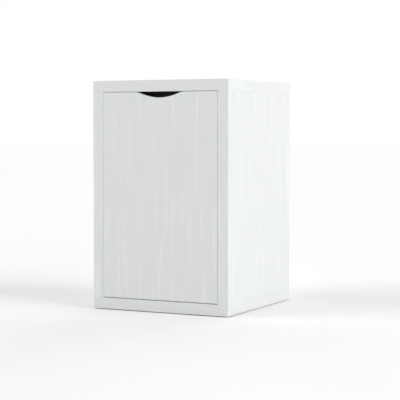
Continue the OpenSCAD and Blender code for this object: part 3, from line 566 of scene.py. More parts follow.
RED_CAP = Coated("red cap", (0.440, 0.018, 0.014), (0.500, 0.028, 0.022), 0.26, 1600.0, 0.00001, 0.0, 0.5)
LAMP = Lamp("indicator lamp")


# ---------------------------------------------------------------------------------- mesh helpers


def turned(profile: Sequence[tuple[float, float]], steps: int) -> bmesh.types.BMesh:
    """Turns a profile round the Z axis into a closed shape.

    Args:
        profile: (radius, height) points. The first and last lie on the axis.
        steps: Facets in the round.

    Returns:
        The mesh.
    """
    mesh = bmesh.new()
    points = [mesh.verts.new((r, 0, z)) for r, z in profile]
    edges = [mesh.edges.new(pair) for pair in zip(points, points[1:])]
    bmesh.ops.spin(mesh, geom=points + edges, cent=(0, 0, 0), axis=(0, 0, 1), angle=TURN, steps=steps,
                   use_merge=True)
    bmesh.ops.remove_doubles(mesh, verts=mesh.verts, dist=1e-6)
    bmesh.ops.recalc_face_normals(mesh, faces=mesh.faces)
    return mesh


def ring(profile: Sequence[tuple[float, float]], steps: int) -> bmesh.types.BMesh:
    """Turns a closed profile that stands clear of the Z axis into a ring.

    Args:
        profile: (radius, height) points, not repeated at the end.
        steps: Facets in the round.

    Returns:
        The mesh.
    """
    mesh = bmesh.new()
    points = [mesh.verts.new((r, 0, z)) for r, z in profile]
    edges = [mesh.edges.new(pair) for pair in zip(points, points[1:] + points[:1])]
    bmesh.ops.spin(mesh, geom=points + edges, cent=(0, 0, 0), axis=(0, 0, 1), angle=TURN, steps=steps,
                   use_merge=True)
    bmesh.ops.remove_doubles(mesh, verts=mesh.verts, dist=1e-6)
    bmesh.ops.recalc_face_normals(mesh, faces=mesh.faces)
    return mesh


def block(low: Sequence[float], high: Sequence[float], ease: float = 0.0, segments: int = 2):
    """Makes a box with eased edges.

    Args:
        low: Lowest corner.
        high: Highest corner.
        ease: Width of the rounding.
        segments: Facets across the rounding.

    Returns:
        The mesh.
    """
    mesh = bmesh.new()
    low, high = Vector(low), Vector(high)
    place = Matrix.Translation((low + high) / 2) @ Matrix.Diagonal((*(high - low), 1))
    bmesh.ops.create_cube(mesh, size=1.0, matrix=place)
    if ease:
        bmesh.ops.bevel(mesh, geom=mesh.edges[:], offset=ease, offset_type="OFFSET", segments=segments,
                        profile=0.5, affect="EDGES", material=-1, clamp_overlap=True)
    return mesh


def extruded(outline: Sequence[tuple[float, float]], low: float, high: float) -> bmesh.types.BMesh:
    """Raises a flat outline from one height to another.

    Args:
        outline: (x, y) points.
        low: Height of the underside.
        high: Height of the top.

    Returns:
        The mesh.
    """
    mesh = bmesh.new()
    face = mesh.faces.new([mesh.verts.new((x, y, low)) for x, y in outline])
    grown = bmesh.ops.extrude_face_region(mesh, geom=[face])
    top = [v for v in grown["geom"] if isinstance(v, bmesh.types.BMVert)]
    bmesh.ops.translate(mesh, verts=top, vec=(0, 0, high - low))
    bmesh.ops.recalc_face_normals(mesh, faces=mesh.faces)
    return mesh


def joined(parts: Iterable[tuple[bmesh.types.BMesh, Matrix]]) -> bmesh.types.BMesh:
    """Puts placed copies of meshes into one mesh.

    Args:
        parts: Each mesh with the place to copy it to. The meshes themselves are kept.

    Returns:
        The mesh.
    """
    whole = bmesh.new()
    scratch = bpy.data.meshes.new("scratch")
    for mesh, place in parts:
        mesh.to_mesh(scratch)
        scratch.transform(place)
        whole.from_mesh(scratch)
    bpy.data.meshes.remove(scratch)
    return whole


def along_y(point: Vector) -> Matrix:
    """Returns the place that turns a shape's Z axis to +Y at a point."""
    return Matrix.Translation(point) @ Matrix.Rotation(-math.pi / 2, 4, "X")


def facing_front(point: Vector) -> Matrix:
    """Returns the place that turns a shape's Z axis to -Y at a point."""
    return Matrix.Translation(point) @ Matrix.Rotation(math.pi / 2, 4, "X")


@dataclass
class Workshop:
    """Makes pieces out of meshes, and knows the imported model's nodes.

    Attributes:
        bodies: Body of each node.
        slots: Material slot of each node.
    """

    frame: dict
    bodies: dict[str, str] = field(init=False)
    slots: dict[str, str] = field(init=False)

    def __post_init__(self) -> None:
        """Looks up the body and the slot of every node."""
        record = self.frame["record"]
        groups = record["behaviour"]["bodies"]
        self.bodies = {node: body for body, nodes in groups.items() for node in nodes}
        self.slots = {entry["node"]: entry["material_slot"] for entry in record["subparts"]}

    def piece(self, name: str, mesh: bmesh.types.BMesh, finish: Finish, node: str,
              replaces: bool = True, sharp: float = 35.0) -> bpy.types.Object:
        """Turns a mesh into a piece that stands for a node or adds to it.

        Args:
            name: Name of the piece.
            mesh: Its mesh, in place. It is freed.
            finish: Its finish.
            node: The node whose body it takes.
            replaces: Whether the node is hidden in its favour.
            sharp: Angle in degrees above which an edge stays sharp.

        Returns:
            The piece.
        """
        data = bpy.data.meshes.new(name)
        mesh.to_mesh(data)
        mesh.free()
        data.shade_smooth()
        data.set_sharp_from_angle(angle=math.radians(sharp))
        data.materials.append(finish.material())
        piece = bpy.data.objects.new(name, data)
        bpy.context.scene.collection.objects.link(piece)
        # large flat faces stay flat next to their rounded edges
        weighted = piece.modifiers.new("flat faces", "WEIGHTED_NORMAL")
        weighted.keep_sharp, weighted.weight = True, 100
        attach(piece, self.bodies[node])
        if replaces:
            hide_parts(node)
        log.info("%s: %d faces", name, len(data.polygons))
        return piece

    def merged(self, node: str) -> bmesh.types.BMesh:
        """Returns a copy of a node's mesh with its triangles joined into flat faces."""
        mesh = bmesh.new()
        mesh.from_mesh(self.frame["nodes"][node].data)
        bmesh.ops.remove_doubles(mesh, verts=mesh.verts, dist=2e-6)
        bmesh.ops.dissolve_limit(mesh, angle_limit=math.radians(0.5), verts=mesh.verts, edges=mesh.edges)
        return mesh

    def eased(self, name: str, node: str, finish: Finish, ease: float, shortest: float = 0.004,
              segments: int = 2) -> bpy.types.Object:
        """Replaces a node by a copy whose long sharp edges are rounded, as made things are.

        Args:
            name: Name of the piece.
            node: The node.
            finish: Its finish.
            ease: Width of the rounding.
            shortest: Edges shorter than this stay as they are.
            segments: Facets across the rounding.

        Returns:
            The piece.
        """
        mesh = self.merged(node)
        bent = [e for e in mesh.edges if len(e.link_faces) == 2 and e.calc_length() > shortest
                and e.calc_face_angle(0.0) > math.radians(40)]
        bmesh.ops.bevel(mesh, geom=bent, offset=ease, offset_type="OFFSET", segments=segments, profile=0.5,
                        affect="EDGES", material=-1, clamp_overlap=True)
        return self.piece(name, mesh, finish, node)

    def driven(self, name: str, node: str, screw: "PanHead") -> bpy.types.Object:
        """Replaces a node of round-headed screws that point to -Y by cross-recessed ones.

        Args:
            name: Name of the piece.
            node: The node.
            screw: The kind of screw.

        Returns:
            The piece.
        """
        solids = islands(self.frame["nodes"][node].data)
        mesh = screw.mesh(solids[0][1].y - solids[0][0].y - screw.height)
        parts = []
        for low, high in solids:
            seat = Vector(((low.x + high.x) / 2, high.y - screw.height, (low.z + high.z) / 2))
            parts.append((mesh, along_y(seat)))
        return self.piece(name, joined(parts), ZINC, node)

    def dress(self, node: str, finish: Finish) -> None:
        """Gives a node that is kept as it is a better finish."""
        data = self.frame["nodes"][node].data
        data.materials.clear()
        data.materials.append(finish.material())
        log.info("%s: kept, %s", node, finish.name)

    def middle(self, node: str) -> Vector:
        """Returns the middle of a node's box."""
        low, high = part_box(node)
        return (low + high) / 2


# ---------------------------------------------------------------------------------- fasteners


@dataclass(frozen=True)
class PanHead:
    """A cross-recessed pan-head screw.

    Attributes:
        radius: Radius of the head.
        height: Height of the head.
        shank: Radius of the shank.
    """

    radius: float
    height: float
    shank: float

    def mesh(self, length: float) -> bmesh.types.BMesh:
        """Returns the screw with its head seated on z = 0 and its point down.

        Args:
            length: Length of the shank.
        """
        r, h, s = self.radius, self.height, self.shank
        dome = [(r * math.cos(a), h * (0.35 + 0.65 * math.sin(a)))
                for a in (0.0, 0.35, 0.7, 1.05, 1.32)]
        screw = turned([(0, -length), (s, 2 * s - length), (s, 0), (r, 0), *dome, (0, h)], 24)
        cutters = [block((-0.55 * r, -0.13 * r, 0.4 * h), (0.55 * r, 0.13 * r, 2 * h)),
                   block((-0.13 * r, -0.55 * r, 0.4 * h), (0.13 * r, 0.55 * r, 2 * h))]
        for cutter in cutters:
            screw = cut(screw, cutter)
        return screw


def cut(body: bmesh.types.BMesh, cutter: bmesh.types.BMesh) -> bmesh.types.BMesh:
    """Cuts one closed mesh out of another.

    Args:
        body: The mesh to cut. It is freed.
        cutter: The mesh to cut away. It is freed.

    Returns:
        The cut mesh.
    """
    objects = []
    for mesh in (body, cutter):
        data = bpy.data.meshes.new("cut")
        mesh.to_mesh(data)
        mesh.free()
        objects.append(bpy.data.objects.new("cut", data))
        bpy.context.scene.collection.objects.link(objects[-1])
    tool = objects[0].modifiers.new("cut", "BOOLEAN")
    tool.object, tool.operation, tool.solver = objects[1], "DIFFERENCE", "EXACT"
    whole = bmesh.new()
    whole.from_object(objects[0], bpy.context.evaluated_depsgraph_get())
    for thing in objects:
        data = thing.data
        bpy.data.objects.remove(thing)
        bpy.data.meshes.remove(data)
    return whole


def islands(node_data: bpy.types.Mesh) -> list[tuple[Vector, Vector]]:
    """Finds the separate solids of a node that holds several.

    Args:
        node_data: The node's mesh.

    Returns:
        The lowest and highest corner of each solid.
    """
    mesh = bmesh.new()
    mesh.from_mesh(node_data)
    bmesh.ops.remove_doubles(mesh, verts=mesh.verts, dist=2e-6)
    mesh.verts.ensure_lookup_table()
    seen: set[int] = set()
    found = []
    for first in mesh.verts:
        if first.index in seen:
            continue
        stack, group = [first], []
        seen.add(first.index)
        while stack:
            vert = stack.pop()
            group.append(vert.co.copy())
            for edge in vert.link_edges:
                other = edge.other_vert(vert)
                if other.index not in seen:
                    seen.add(other.index)
                    stack.append(other)
        found.append((Vector(map(min, zip(*group))), Vector(map(max, zip(*group)))))
    mesh.free()
    return found


# ---------------------------------------------------------------------------------- sub-assemblies


@dataclass
class Case:
    """The white wooden case with its back board, dowels, screws and glides.

    Attributes:
        shop: The workshop.
        edge: Rounding of the panels' edges.
        nail: Radius and length of a glide's nail.
        screw: The back board's screws.
    """

    shop: Workshop
    edge: float = 0.0009
    nail: tuple[float, float] = (0.002, 0.0149)
    screw: PanHead = PanHead(0.0040, 0.0022, 0.0019)

    def build(self) -> None:
        """Builds the case."""
        self.panels()
        self.back()
        self.glides()

    def panels(self) -> None:
        """Eases the four panels and runs their grain as it was cut."""
        for node, finish in (("left_panel", LEFT_SIDE), ("right_panel", RIGHT_SIDE)):
            self.shop.eased(f"{node}_board", node, finish, self.edge, shortest=0.009, segments=3)
        for node, face, end in (("top_panel", TOP_FACE, TOP_END), ("bottom_panel", BASE_FACE, BASE_END)):
            board = self.shop.eased(f"{node}_board", node, face, self.edge, shortest=0.009, segments=3)
            board.data.materials.append(end.material())
            for polygon in board.data.polygons:
                if abs(polygon.normal.x) > 0.72:
                    polygon.material_index = 1

    def back(self) -> None:
        """Dresses the back board and the dowels, and drives proper screws through the board."""
        self.shop.eased("back_board", "back_panel", BACK_BOARD, 0.0005, shortest=0.009)
        self.shop.dress("panel_dowels", BEECH)
        self.shop.driven("back_board_screws", "back_screws", self.screw)

    def glides(self) -> None:
        """Turns the floor glides with a soft lower edge and a nail."""
        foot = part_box("bottom_panel")[0].z
        nail_radius, nail_length = self.nail
        parts = []
        solids = islands(self.shop.frame["nodes"]["floor_glides"].data)
        radius = (solids[0][1].x - solids[0][0].x) / 2
        glide = turned([(0, 0), (radius - 0.0015, 0), (radius - 0.0004, 0.0004), (radius, 0.0014),
                        (radius, foot - 0.0003), (radius - 0.0003, foot), (nail_radius, foot),
                        (nail_radius, foot + nail_length), (0, foot + nail_length)], 48)
        for near, far in solids:
            middle = (near + far) / 2
            parts.append((glide, Matrix.Translation((middle.x, middle.y, 0))))
        self.shop.piece("nail_on_glides", joined(parts), NYLON, "floor_glides")


@dataclass
class SteelFrame:
    """The pressed-steel frame that takes the force of the press.

    Attributes:
        shop: The workshop.
        bolt_size: Width across flats of the frame bolts.
        bolt_radius: Radius of their shanks.
        bolt_head: Height of their heads, washer face and all.
        washer_face: Height of the washer face.
    """

    shop: Workshop
    bolt_size: float = 0.0125
    bolt_radius: float = 0.004
    bolt_head: float = 0.0053
    washer_face: float = 0.0012

    def build(self) -> None:
        """Builds the frame."""
        for node in ("left_column", "right_column", "top_beam"):
            self.shop.eased(f"{node}_channel", node, FRAME_GREY, 0.0006)
        for node in ("base_plate", "deck", "motor_bridge"):
            self.shop.eased(f"{node}_sheet", node, ZINC, 0.0004)
        self.shop.eased("press_rail_bars", "press_rails", NYLON, 0.0012, segments=3)
        self.shop.eased("slide_spacer_channels", "slide_spacers", ZINC, 0.0004)
        self.shop.dress("foot_bearings", CASTING)
        self.shop.dress("top_bushes", BRONZE)
        self.bolts()

    def bolts(self) -> None:
        """Makes each frame bolt: a chamfered hexagon on a round washer face, over its shank."""
        across, radius, face = self.bolt_size / 2, self.bolt_radius, self.washer_face
        corner, depth = across / math.cos(TURN / 12), self.bolt_head - face
        parts = []
        for low, high in islands(self.shop.frame["nodes"]["frame_bolts"].data):
            middle, shank = (low + high) / 2, high.z - low.z - self.bolt_head
            hexagon = bmesh.new()
            above = Matrix.Translation((0, 0, face + depth / 2)) @ Matrix.Rotation(TURN / 12, 4, "Z")
            bmesh.ops.create_cone(hexagon, cap_ends=True, segments=6, radius1=corner, radius2=corner,
                                  depth=depth, matrix=above)
            top = [e for e in hexagon.edges if all(v.co.z > face + depth / 2 for v in e.verts)]
            bmesh.ops.bevel(hexagon, geom=top, offset=0.0007, offset_type="OFFSET", segments=2, profile=0.5,
                            affect="EDGES", material=-1)
            washer = turned([(0, -shank), (radius - 0.0004, -shank), (radius, 0.0004 - shank), (radius, 0),
                             (across, 0), (across, face - 0.0004), (across - 0.0004, face), (0, face)], 24)
            place = Matrix.Translation((middle.x, middle.y, low.z + shank))
            parts += [(hexagon, place), (washer, place)]
        self.shop.piece("hexagon_bolts", joined(parts), ZINC, "frame_bolts")


@dataclass
class Press:
    """The two power screws, the crosshead and the ram.

    Attributes:
        shop: The workshop.
        lead: Travel of the thread in a turn.
        starts: Threads side by side. Each is one closed tooth, swept as a helix.
        tooth: Depth of the thread.
        facets: Facets in one turn of the thread.
    """

    shop: Workshop
    lead: float = 0.008
    starts: int = 2
    tooth: float = 0.0021
    facets: int = 18

    def build(self) -> None:
        """Builds the press."""
        for node in ("left_screw", "right_screw"):
            self.screw(node)
        self.shop.eased("crosshead_beam", "crosshead", FRAME_GREY, 0.0008)
        self.shop.eased("power_nut_blocks", "power_nuts", BRONZE, 0.0006)
        self.shop.eased("guide_shoe_blocks", "guide_shoes", NYLON, 0.0015, segments=3)
        self.shop.eased("ram_box", "ram_shell", RAM_GREY, 0.0010)
        self.shop.eased("ram_face", "ram_plate", STAINLESS, 0.0012, segments=3)

    def screw(self, node: str) -> None:
        """Cuts a trapezoidal thread along a screw: one turn's profile, swept as a helix.

        Args:
            node: The screw's node.
        """
        low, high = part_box(node)
        middle = (low + high) / 2
        outer = (high.x - low.x) / 2
        core = outer - self.tooth
        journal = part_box("foot_bearings")[1].z + 0.0005
        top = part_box("top_beam")[0].z - 0.003
        threaded_low, threaded_high = journal + 0.010, top - 0.006
        pitch = self.lead / self.starts
        turns = (threaded_high - threaded_low - self.lead) / self.lead
        mesh = bmesh.new()
        root = core - 0.0004
        for start in range(self.starts):
            z = threaded_low + start * pitch
            profile = [(root, z + 0.26 * pitch), (outer, z + 0.42 * pitch), (outer, z + 0.80 * pitch),
                       (root, z + 0.96 * pitch)]
            tooth = mesh.faces.new([mesh.verts.new((r, 0, height)) for r, height in profile])
            bmesh.ops.spin(mesh, geom=[tooth], cent=(0, 0, 0), axis=(0, 0, 1), angle=TURN * turns,
                           dvec=(0, 0, self.lead / self.facets), steps=round(self.facets * turns))
        bmesh.ops.recalc_face_normals(mesh, faces=mesh.faces)
        bar = turned([(0, low.z), (outer - 0.002, low.z), (outer - 0.002, journal),
                      (outer - 0.0006, journal), (outer, journal + 0.0006), (outer, threaded_low - 0.001),
                      (core + 0.00005, threaded_low + 0.001), (core + 0.00005, threaded_high - 0.001),
                      (outer, threaded_high + 0.001), (outer, top - 0.0006), (outer - 0.0006, top),
                      (outer - 0.003, top), (outer - 0.003, high.z - 0.001), (outer - 0.004, high.z),
                      (0, high.z)], 36)
        place = Matrix.Translation((middle.x, middle.y, 0))
        whole = joined([(mesh, place), (bar, place)])
        self.shop.piece(f"{node}_thread", whole, SCREW_STEEL, node, sharp=28)


@dataclass
class Chain:
    """The roller chain, link by link round its three sprockets.

    Attributes:
        shop: The workshop.
        pitch: Distance from pin to pin.
        teeth: Teeth on each sprocket.
        roller: Radius and half width of a roller.
        bolt: Radius and half length of a pin.
        plate: Half height of a link plate.
        inner: Nearer and farther face of an inner plate, from the chain's middle plane.
        outer: The same of an outer plate.
    """

    shop: Workshop
    pitch: float = 0.009525
    teeth: int = 12
    roller: tuple[float, float] = (0.003175, 0.0028)
    bolt: tuple[float, float] = (0.0016, 0.0056)
    plate: float = 0.0041
    inner: tuple[float, float] = (0.0029, 0.0042)
    outer: tuple[float, float] = (0.0043, 0.0055)

    def sprockets(self) -> list[Vector]:
        """Returns the middles of the left, right and drive sprockets, all on one level."""
        middles = [self.shop.middle(node) for node in ("left_screw", "right_screw", "drive_shaft")]
        return [Vector((middle.x, middle.y, 0)) for middle in middles]

    def pin(self, step: float) -> Vector:
        """Finds a point on the chain's loop.

        Args:
            step: Distance from the left sprocket's front seat, in pitches.

        Returns:
            The point.
        """
        left, right, drive = self.sprockets()
        radius = self.pitch / 2 / math.sin(math.pi / self.teeth)
        lean = math.atan2(drive.y - right.y, right.x)
        side = math.hypot(drive.y - right.y, right.x) / self.pitch
        front = (right.x - left.x) / self.pitch
        turn = TURN / self.teeth
        arcs = (math.pi - lean) / turn, 2 * lean / turn
        ahead, behind = math.pi / 2 - lean, math.pi / 2 + lean
        legs = ((left, -math.pi / 2, front), (right, -math.pi / 2, arcs[0]), (right, ahead, side),
                (drive, ahead, arcs[1]), (drive, behind, side), (left, behind, arcs[0]))
        for number, (middle, angle, length) in enumerate(legs):
            if step <= length or number == len(legs) - 1:
                break
            step -= length
        around = number % 2 == 1
        if around:
            angle += step * turn
        spoke = Vector((math.cos(angle), math.sin(angle), 0))
        if around:
            return middle + spoke * radius
        run = Vector((-spoke.y, spoke.x, 0))
        return middle + spoke * radius + run * step * self.pitch

    def link_outline(self, length: float) -> list[tuple[float, float]]:
        """Returns a waisted link plate: two round ends and a narrower middle.

        Args:
            length: Distance between the plate's two pins.
        """
        ends = []
        for side, first in ((1, -math.pi / 2), (-1, math.pi / 2)):
            for number in range(6):
                angle = first + math.pi * number / 5
                ends.append((side * length / 2 + self.plate * math.cos(angle), self.plate * math.sin(angle)))
            ends.append((0.0, side * self.plate * 0.72))
        return ends

    def build(self) -> None:
        """Builds the chain."""
        low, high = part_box("drive_chain")
        level = (low.z + high.z) / 2
        count = round(self.length())
        roller, pin = (turned([(0, -half), (radius, -half), (radius, half), (0, half)], steps)
                       for (radius, half), steps in ((self.roller, 12), (self.bolt, 8)))
        parts = []
        pins = [self.pin(float(number)) for number in range(count)]
        for number, here in enumerate(pins):
            there = pins[(number + 1) % count]
            run = there - here
            near, far = self.outer if number % 2 else self.inner
            place = Matrix.Translation(((here.x + there.x) / 2, (here.y + there.y) / 2, level))
            place = place @ Matrix.Rotation(math.atan2(run.y, run.x), 4, "Z")
            outline = self.link_outline(run.length)
            for bottom, ceiling in ((near, far), (-far, -near)):
                parts.append((extruded(outline, bottom, ceiling), place))
            spot = Matrix.Translation((here.x, here.y, level))
            parts += [(roller, spot), (pin, spot)]
        self.shop.piece("roller_chain", joined(parts), OILED, "drive_chain")

    def length(self) -> float:
        """Returns the loop's length in pitches."""
        left, right, drive = self.sprockets()
        side = math.hypot(drive.y - right.y, right.x)
        return (right.x - left.x + 2 * side) / self.pitch + self.teeth


@dataclass
class Drive:
    """The motor, its gears, the chain and the sprockets.

    Attributes:
        shop: The workshop.
        shaft_hole: Radius of the hole for the motor's shaft.
        flange: Height of the barrel's end flanges.
        wall: Thickness of the barrel's end walls.
        fins: Cooling fins in the round, the gaps for the tie bolts among them.
    """

    shop: Workshop
    shaft_hole: float = 0.0052
    flange: float = 0.012
    wall: float = 0.018
    fins: int = 36

    def build(self) -> None:
        """Builds the drive."""
        Chain(self.shop).build()
        for node in ("left_sprocket", "right_sprocket", "drive_sprocket", "reduction_gear"):
            self.shop.dress(node, OILED if node != "reduction_gear" else GROUND)
        self.shop.dress("drive_shaft", GROUND)
        self.shop.dress("motor_rotor", GROUND)
        self.shop.dress("gearcase", CASTING)
        self.shop.eased("gearcase_cover", "gearcase_lid", CASTING, 0.0005)
        self.motor()

    def motor(self) -> None:
        """Builds the motor: a finned barrel between two flanges, with tie bolts and a cowl."""
        low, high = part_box("motor_body")
        middle = (low + high) / 2
        radius = (high.x - low.x) / 2 - 0.002
        bore = (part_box("motor_rotor")[1].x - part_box("motor_rotor")[0].x) / 2 + 0.001
        height = high.z - low.z
        hole, flange, wall, waist = self.shaft_hole, self.flange, self.wall, radius - 0.003
        shell = ring([(hole, 0), (radius - 0.001, 0), (radius, 0.001), (radius, flange),
                      (waist, flange + 0.002), (waist, height - flange - 0.002), (radius, height - flange),
                      (radius, height - 0.001), (radius - 0.001, height), (hole, height),
                      (hole, height - wall), (bore, height - wall), (bore, wall), (hole, wall)], 72)
        parts = [(shell, Matrix.Translation((middle.x, middle.y, low.z)))]
        fin = block((radius - 0.004, -0.0009, 0.0145), (radius + 0.0019, 0.0009, height - 0.0145), 0.0005)
        for number in range(self.fins):
            if number % 9 not in (0, 8):
                turn = Matrix.Rotation(TURN * number / self.fins, 4, "Z")
                parts.append((fin, Matrix.Translation((middle.x, middle.y, low.z)) @ turn))
        self.shop.piece("motor_barrel", joined(parts), MOTOR_PAINT, "motor_body")
        self.shop.eased("motor_cowl", "motor_cap", BLACK, 0.0008, shortest=0.002)
        bolt = turned([(0, 0), (0.0035, 0), (0.0035, 0.0022), (0.0028, 0.003), (0, 0.003)], 16)
        reach = radius - 0.006
        spots = []
        for number in range(4):
            angle = TURN * (number + 0.5) / 4
            spot = Vector((reach * math.cos(angle), reach * math.sin(angle), high.z - 0.0005))
            spots.append((bolt, Matrix.Translation(spot + Vector((middle.x, middle.y, 0)))))
        self.shop.piece("motor_tie_bolts", joined(spots), ZINC, "motor_body", replaces=False)


@dataclass
class Drawer:
    """The pull-out: drawer front, finger cup, front frame, carriage, bin and slides.

    Attributes:
        shop: The workshop.
        edge: Rounding of the drawer front's edges.
        screw: The screws that hold it.
    """

    shop: Workshop
    edge: float = 0.0009
    screw: PanHead = PanHead(0.0042, 0.0022, 0.0020)

    def build(self) -> None:
        """Builds the drawer."""
        self.front()
        self.shop.eased("finger_cup_moulding", "finger_cup", BLACK, 0.0006)
        self.shop.eased("front_frame_sheet", "front_frame", ZINC, 0.0003, shortest=0.006)
        self.shop.eased("carriage_tray", "carriage", ZINC, 0.0003)
        self.shop.eased("bin_moulding", "bin", BIN_GREY, 0.0010, shortest=0.0002)
        self.slides()
        self.shop.driven("drawer_front_screws", "front_screws", self.screw)

    def front(self) -> None:
        """Eases the drawer front's edges, the notch's curved edge among them."""
        mesh = self.shop.merged("drawer_front")
        low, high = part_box("drawer_front")
        rim = []
        for edge in mesh.edges:
            outer = all(abs(v.co.y - low.y) < 1e-5 for v in edge.verts)
            inner = all(abs(v.co.y - high.y) < 1e-5 for v in edge.verts)
            outline = all(self.on_outline(v.co, low, high) for v in edge.verts)
            if (outer or (inner and outline)) and edge.calc_face_angle(0.0) > 1.0:
                rim.append(edge)
        corners = [e for e in mesh.edges if e.calc_face_angle(0.0) > 1.0
                   and abs(e.verts[0].co.y - e.verts[1].co.y) > 0.01
                   and abs(abs(e.verts[0].co.x) - high.x) < 1e-5]
        bmesh.ops.bevel(mesh, geom=rim + corners, offset=self.edge, offset_type="OFFSET", segments=3,
                        profile=0.5, affect="EDGES", material=-1, clamp_overlap=True)
        self.shop.piece("drawer_front_board", mesh, DOOR, "drawer_front", sharp=30)

    @staticmethod
    def on_outline(point: Vector, low: Vector, high: Vector) -> bool:
        """Tells whether a point is on the drawer front's outline, and not on a screw hole."""
        sides = abs(point.x - low.x) < 1e-5 or abs(point.x - high.x) < 1e-5
        return sides or abs(point.z - low.z) < 1e-5 or point.z > high.z - 0.03

    def slides(self) -> None:
        """Eases the slides' rolled channels and the rubber stops, and grinds the balls bright."""
        self.shop.eased("outer_slide_channels", "slide_outers", ZINC_DRAWN, 0.0004)
        self.shop.eased("inner_slide_channels", "slide_inners", ZINC_DRAWN, 0.0004)
        for side in ("left", "right"):
            self.shop.eased(f"{side}_middle_channel", f"{side}_slide_middle", ZINC_DRAWN, 0.0004)
        self.shop.dress("outer_cages", GROUND)
        self.shop.dress("inner_cages", GROUND)
        self.shop.eased("rubber_stops", "drawer_stops", RUBBER, 0.0010, segments=3)


@dataclass
class Controls:
    """The control panel under the ceiling, and what is pressed and turned on it.

    Attributes:
        shop: The workshop.
        bow: Radius and thickness of the key's bow.
        ring_hole: Radius of the bow's hole, and its distance from the bow's middle.
    """

    shop: Workshop
    bow: tuple[float, float] = (0.0068, 0.0018)
    ring_hole: tuple[float, float] = (0.0021, 0.0036)

    def build(self) -> None:
        """Builds the controls."""
        self.shop.eased("control_fascia", "control_panel", BLACK, 0.0008)
        self.shop.dress("indicator_lens", LAMP)
        self.cap("start_button", GREEN_CAP)
        self.cap("stop_button", RED_CAP)
        self.lock()

    def cap(self, node: str, finish: Finish) -> None:
        """Turns a push button with a dished face.

        Args:
            node: The button's node.
            finish: Its finish.
        """
        low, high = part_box(node)
        middle = (low + high) / 2
        radius, depth = (high.x - low.x) / 2, high.y - low.y
        cap = turned([(0, 0), (radius, 0), (radius, depth - 0.0010), (radius - 0.0003, depth - 0.0003),
                      (radius - 0.0010, depth), (radius - 0.0018, depth - 0.0001),
                      (radius * 0.5, depth - 0.0006), (0, depth - 0.0008)], 48)
        whole = joined([(cap, facing_front(Vector((middle.x, high.y, middle.z))))])
        self.shop.piece(f"{node}_cap", whole, finish, node)

    def lock(self) -> None:
        """Builds the key lock: a barrel with a rim, and a key whose bow has a ring hole."""
        low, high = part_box("key_lock")
        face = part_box("control_panel")[0].y
        middle = (low + high) / 2
        radius = (high.x - low.x) / 2
        depth = high.y - face
        bow_radius, bow_depth = self.bow
        hole_radius, hole_reach = self.ring_hole
        barrel = turned([(0, 0), (radius, 0), (radius, depth + 0.0009), (radius - 0.0006, depth + 0.0015),
                         (radius - 0.0020, depth + 0.0015), (radius - 0.0024, depth + 0.0010),
                         (0, depth + 0.0010)], 48)
        bow = bmesh.new()
        bmesh.ops.create_circle(bow, cap_ends=True, radius=bow_radius, segments=32)
        grown = bmesh.ops.extrude_face_region(bow, geom=bow.faces[:])
        bmesh.ops.translate(bow, verts=[v for v in grown["geom"] if isinstance(v, bmesh.types.BMVert)],
                            vec=(0, 0, bow_depth))
        bmesh.ops.bevel(bow, geom=[e for e in bow.edges if e.calc_face_angle(0.0) > 1.0], offset=0.0003,
                        offset_type="OFFSET", segments=2, profile=0.5, affect="EDGES", material=-1)
        bmesh.ops.recalc_face_normals(bow, faces=bow.faces)
        hole = turned([(0, -0.002), (hole_radius, -0.002), (hole_radius, 0.004), (0, 0.004)], 24)
        bmesh.ops.translate(hole, verts=hole.verts, vec=(hole_reach, 0, 0))
        bow = cut(bow, hole)
        # the bow stands on edge across the key hole
        spot = Matrix.Translation((middle.x - bow_depth / 2, low.y + bow_radius + 0.0001, middle.z))
        upright = Matrix.Rotation(math.pi / 2, 4, "Y") @ Matrix.Rotation(-math.pi / 2, 4, "Z")
        parts = [(barrel, facing_front(Vector((middle.x, high.y, middle.z)))), (bow, spot @ upright)]
        self.shop.piece("key_and_barrel", joined(parts), GROUND, "key_lock")


@dataclass
class Electrics:
    """The control box, the power inlet, the sensor and the cables.

    Attributes:
        shop: The workshop.
    """

    shop: Workshop

    def build(self) -> None:
        """Builds the electrics."""
        self.shop.eased("control_box_cover", "control_box", BLACK, 0.0015, segments=3)
        self.shop.eased("power_inlet_moulding", "power_inlet", BLACK, 0.0004, shortest=0.003)
        self.shop.eased("sensor_moulding", "drawer_sensor", BLACK, 0.0010, segments=3)
        self.shop.dress("wiring_harness", CABLE)


# ---------------------------------------------------------------------------------- the studio


@dataclass(frozen=True)
class SoftLight:
    """One broad soft light, far enough away to light the whole floor evenly.

    Attributes:
        name: Name of the light.
        azimuth: Degrees round from the front, towards +X.
        elevation: Degrees above the floor.
        strength: Strength of the light.
        spread: Width of the light as seen from the object, in degrees.
    """

    name: str
    azimuth: float
    elevation: float
    strength: float
    spread: float = 40.0

    def build(self) -> bpy.types.Object:
        """Hangs the light up, facing the object, and returns it."""
        data = bpy.data.lights.new(self.name, "SUN")
        data.energy = self.strength
        data.angle = math.radians(self.spread)
        light = bpy.data.objects.new(self.name, data)
        turn, rise = math.radians(self.azimuth), math.radians(self.elevation)
        back = Vector((math.sin(turn) * math.cos(rise), -math.cos(turn) * math.cos(rise), math.sin(rise)))
        light.rotation_euler = back.to_track_quat("Z", "Y").to_euler()
        bpy.context.scene.collection.objects.link(light)
        return light


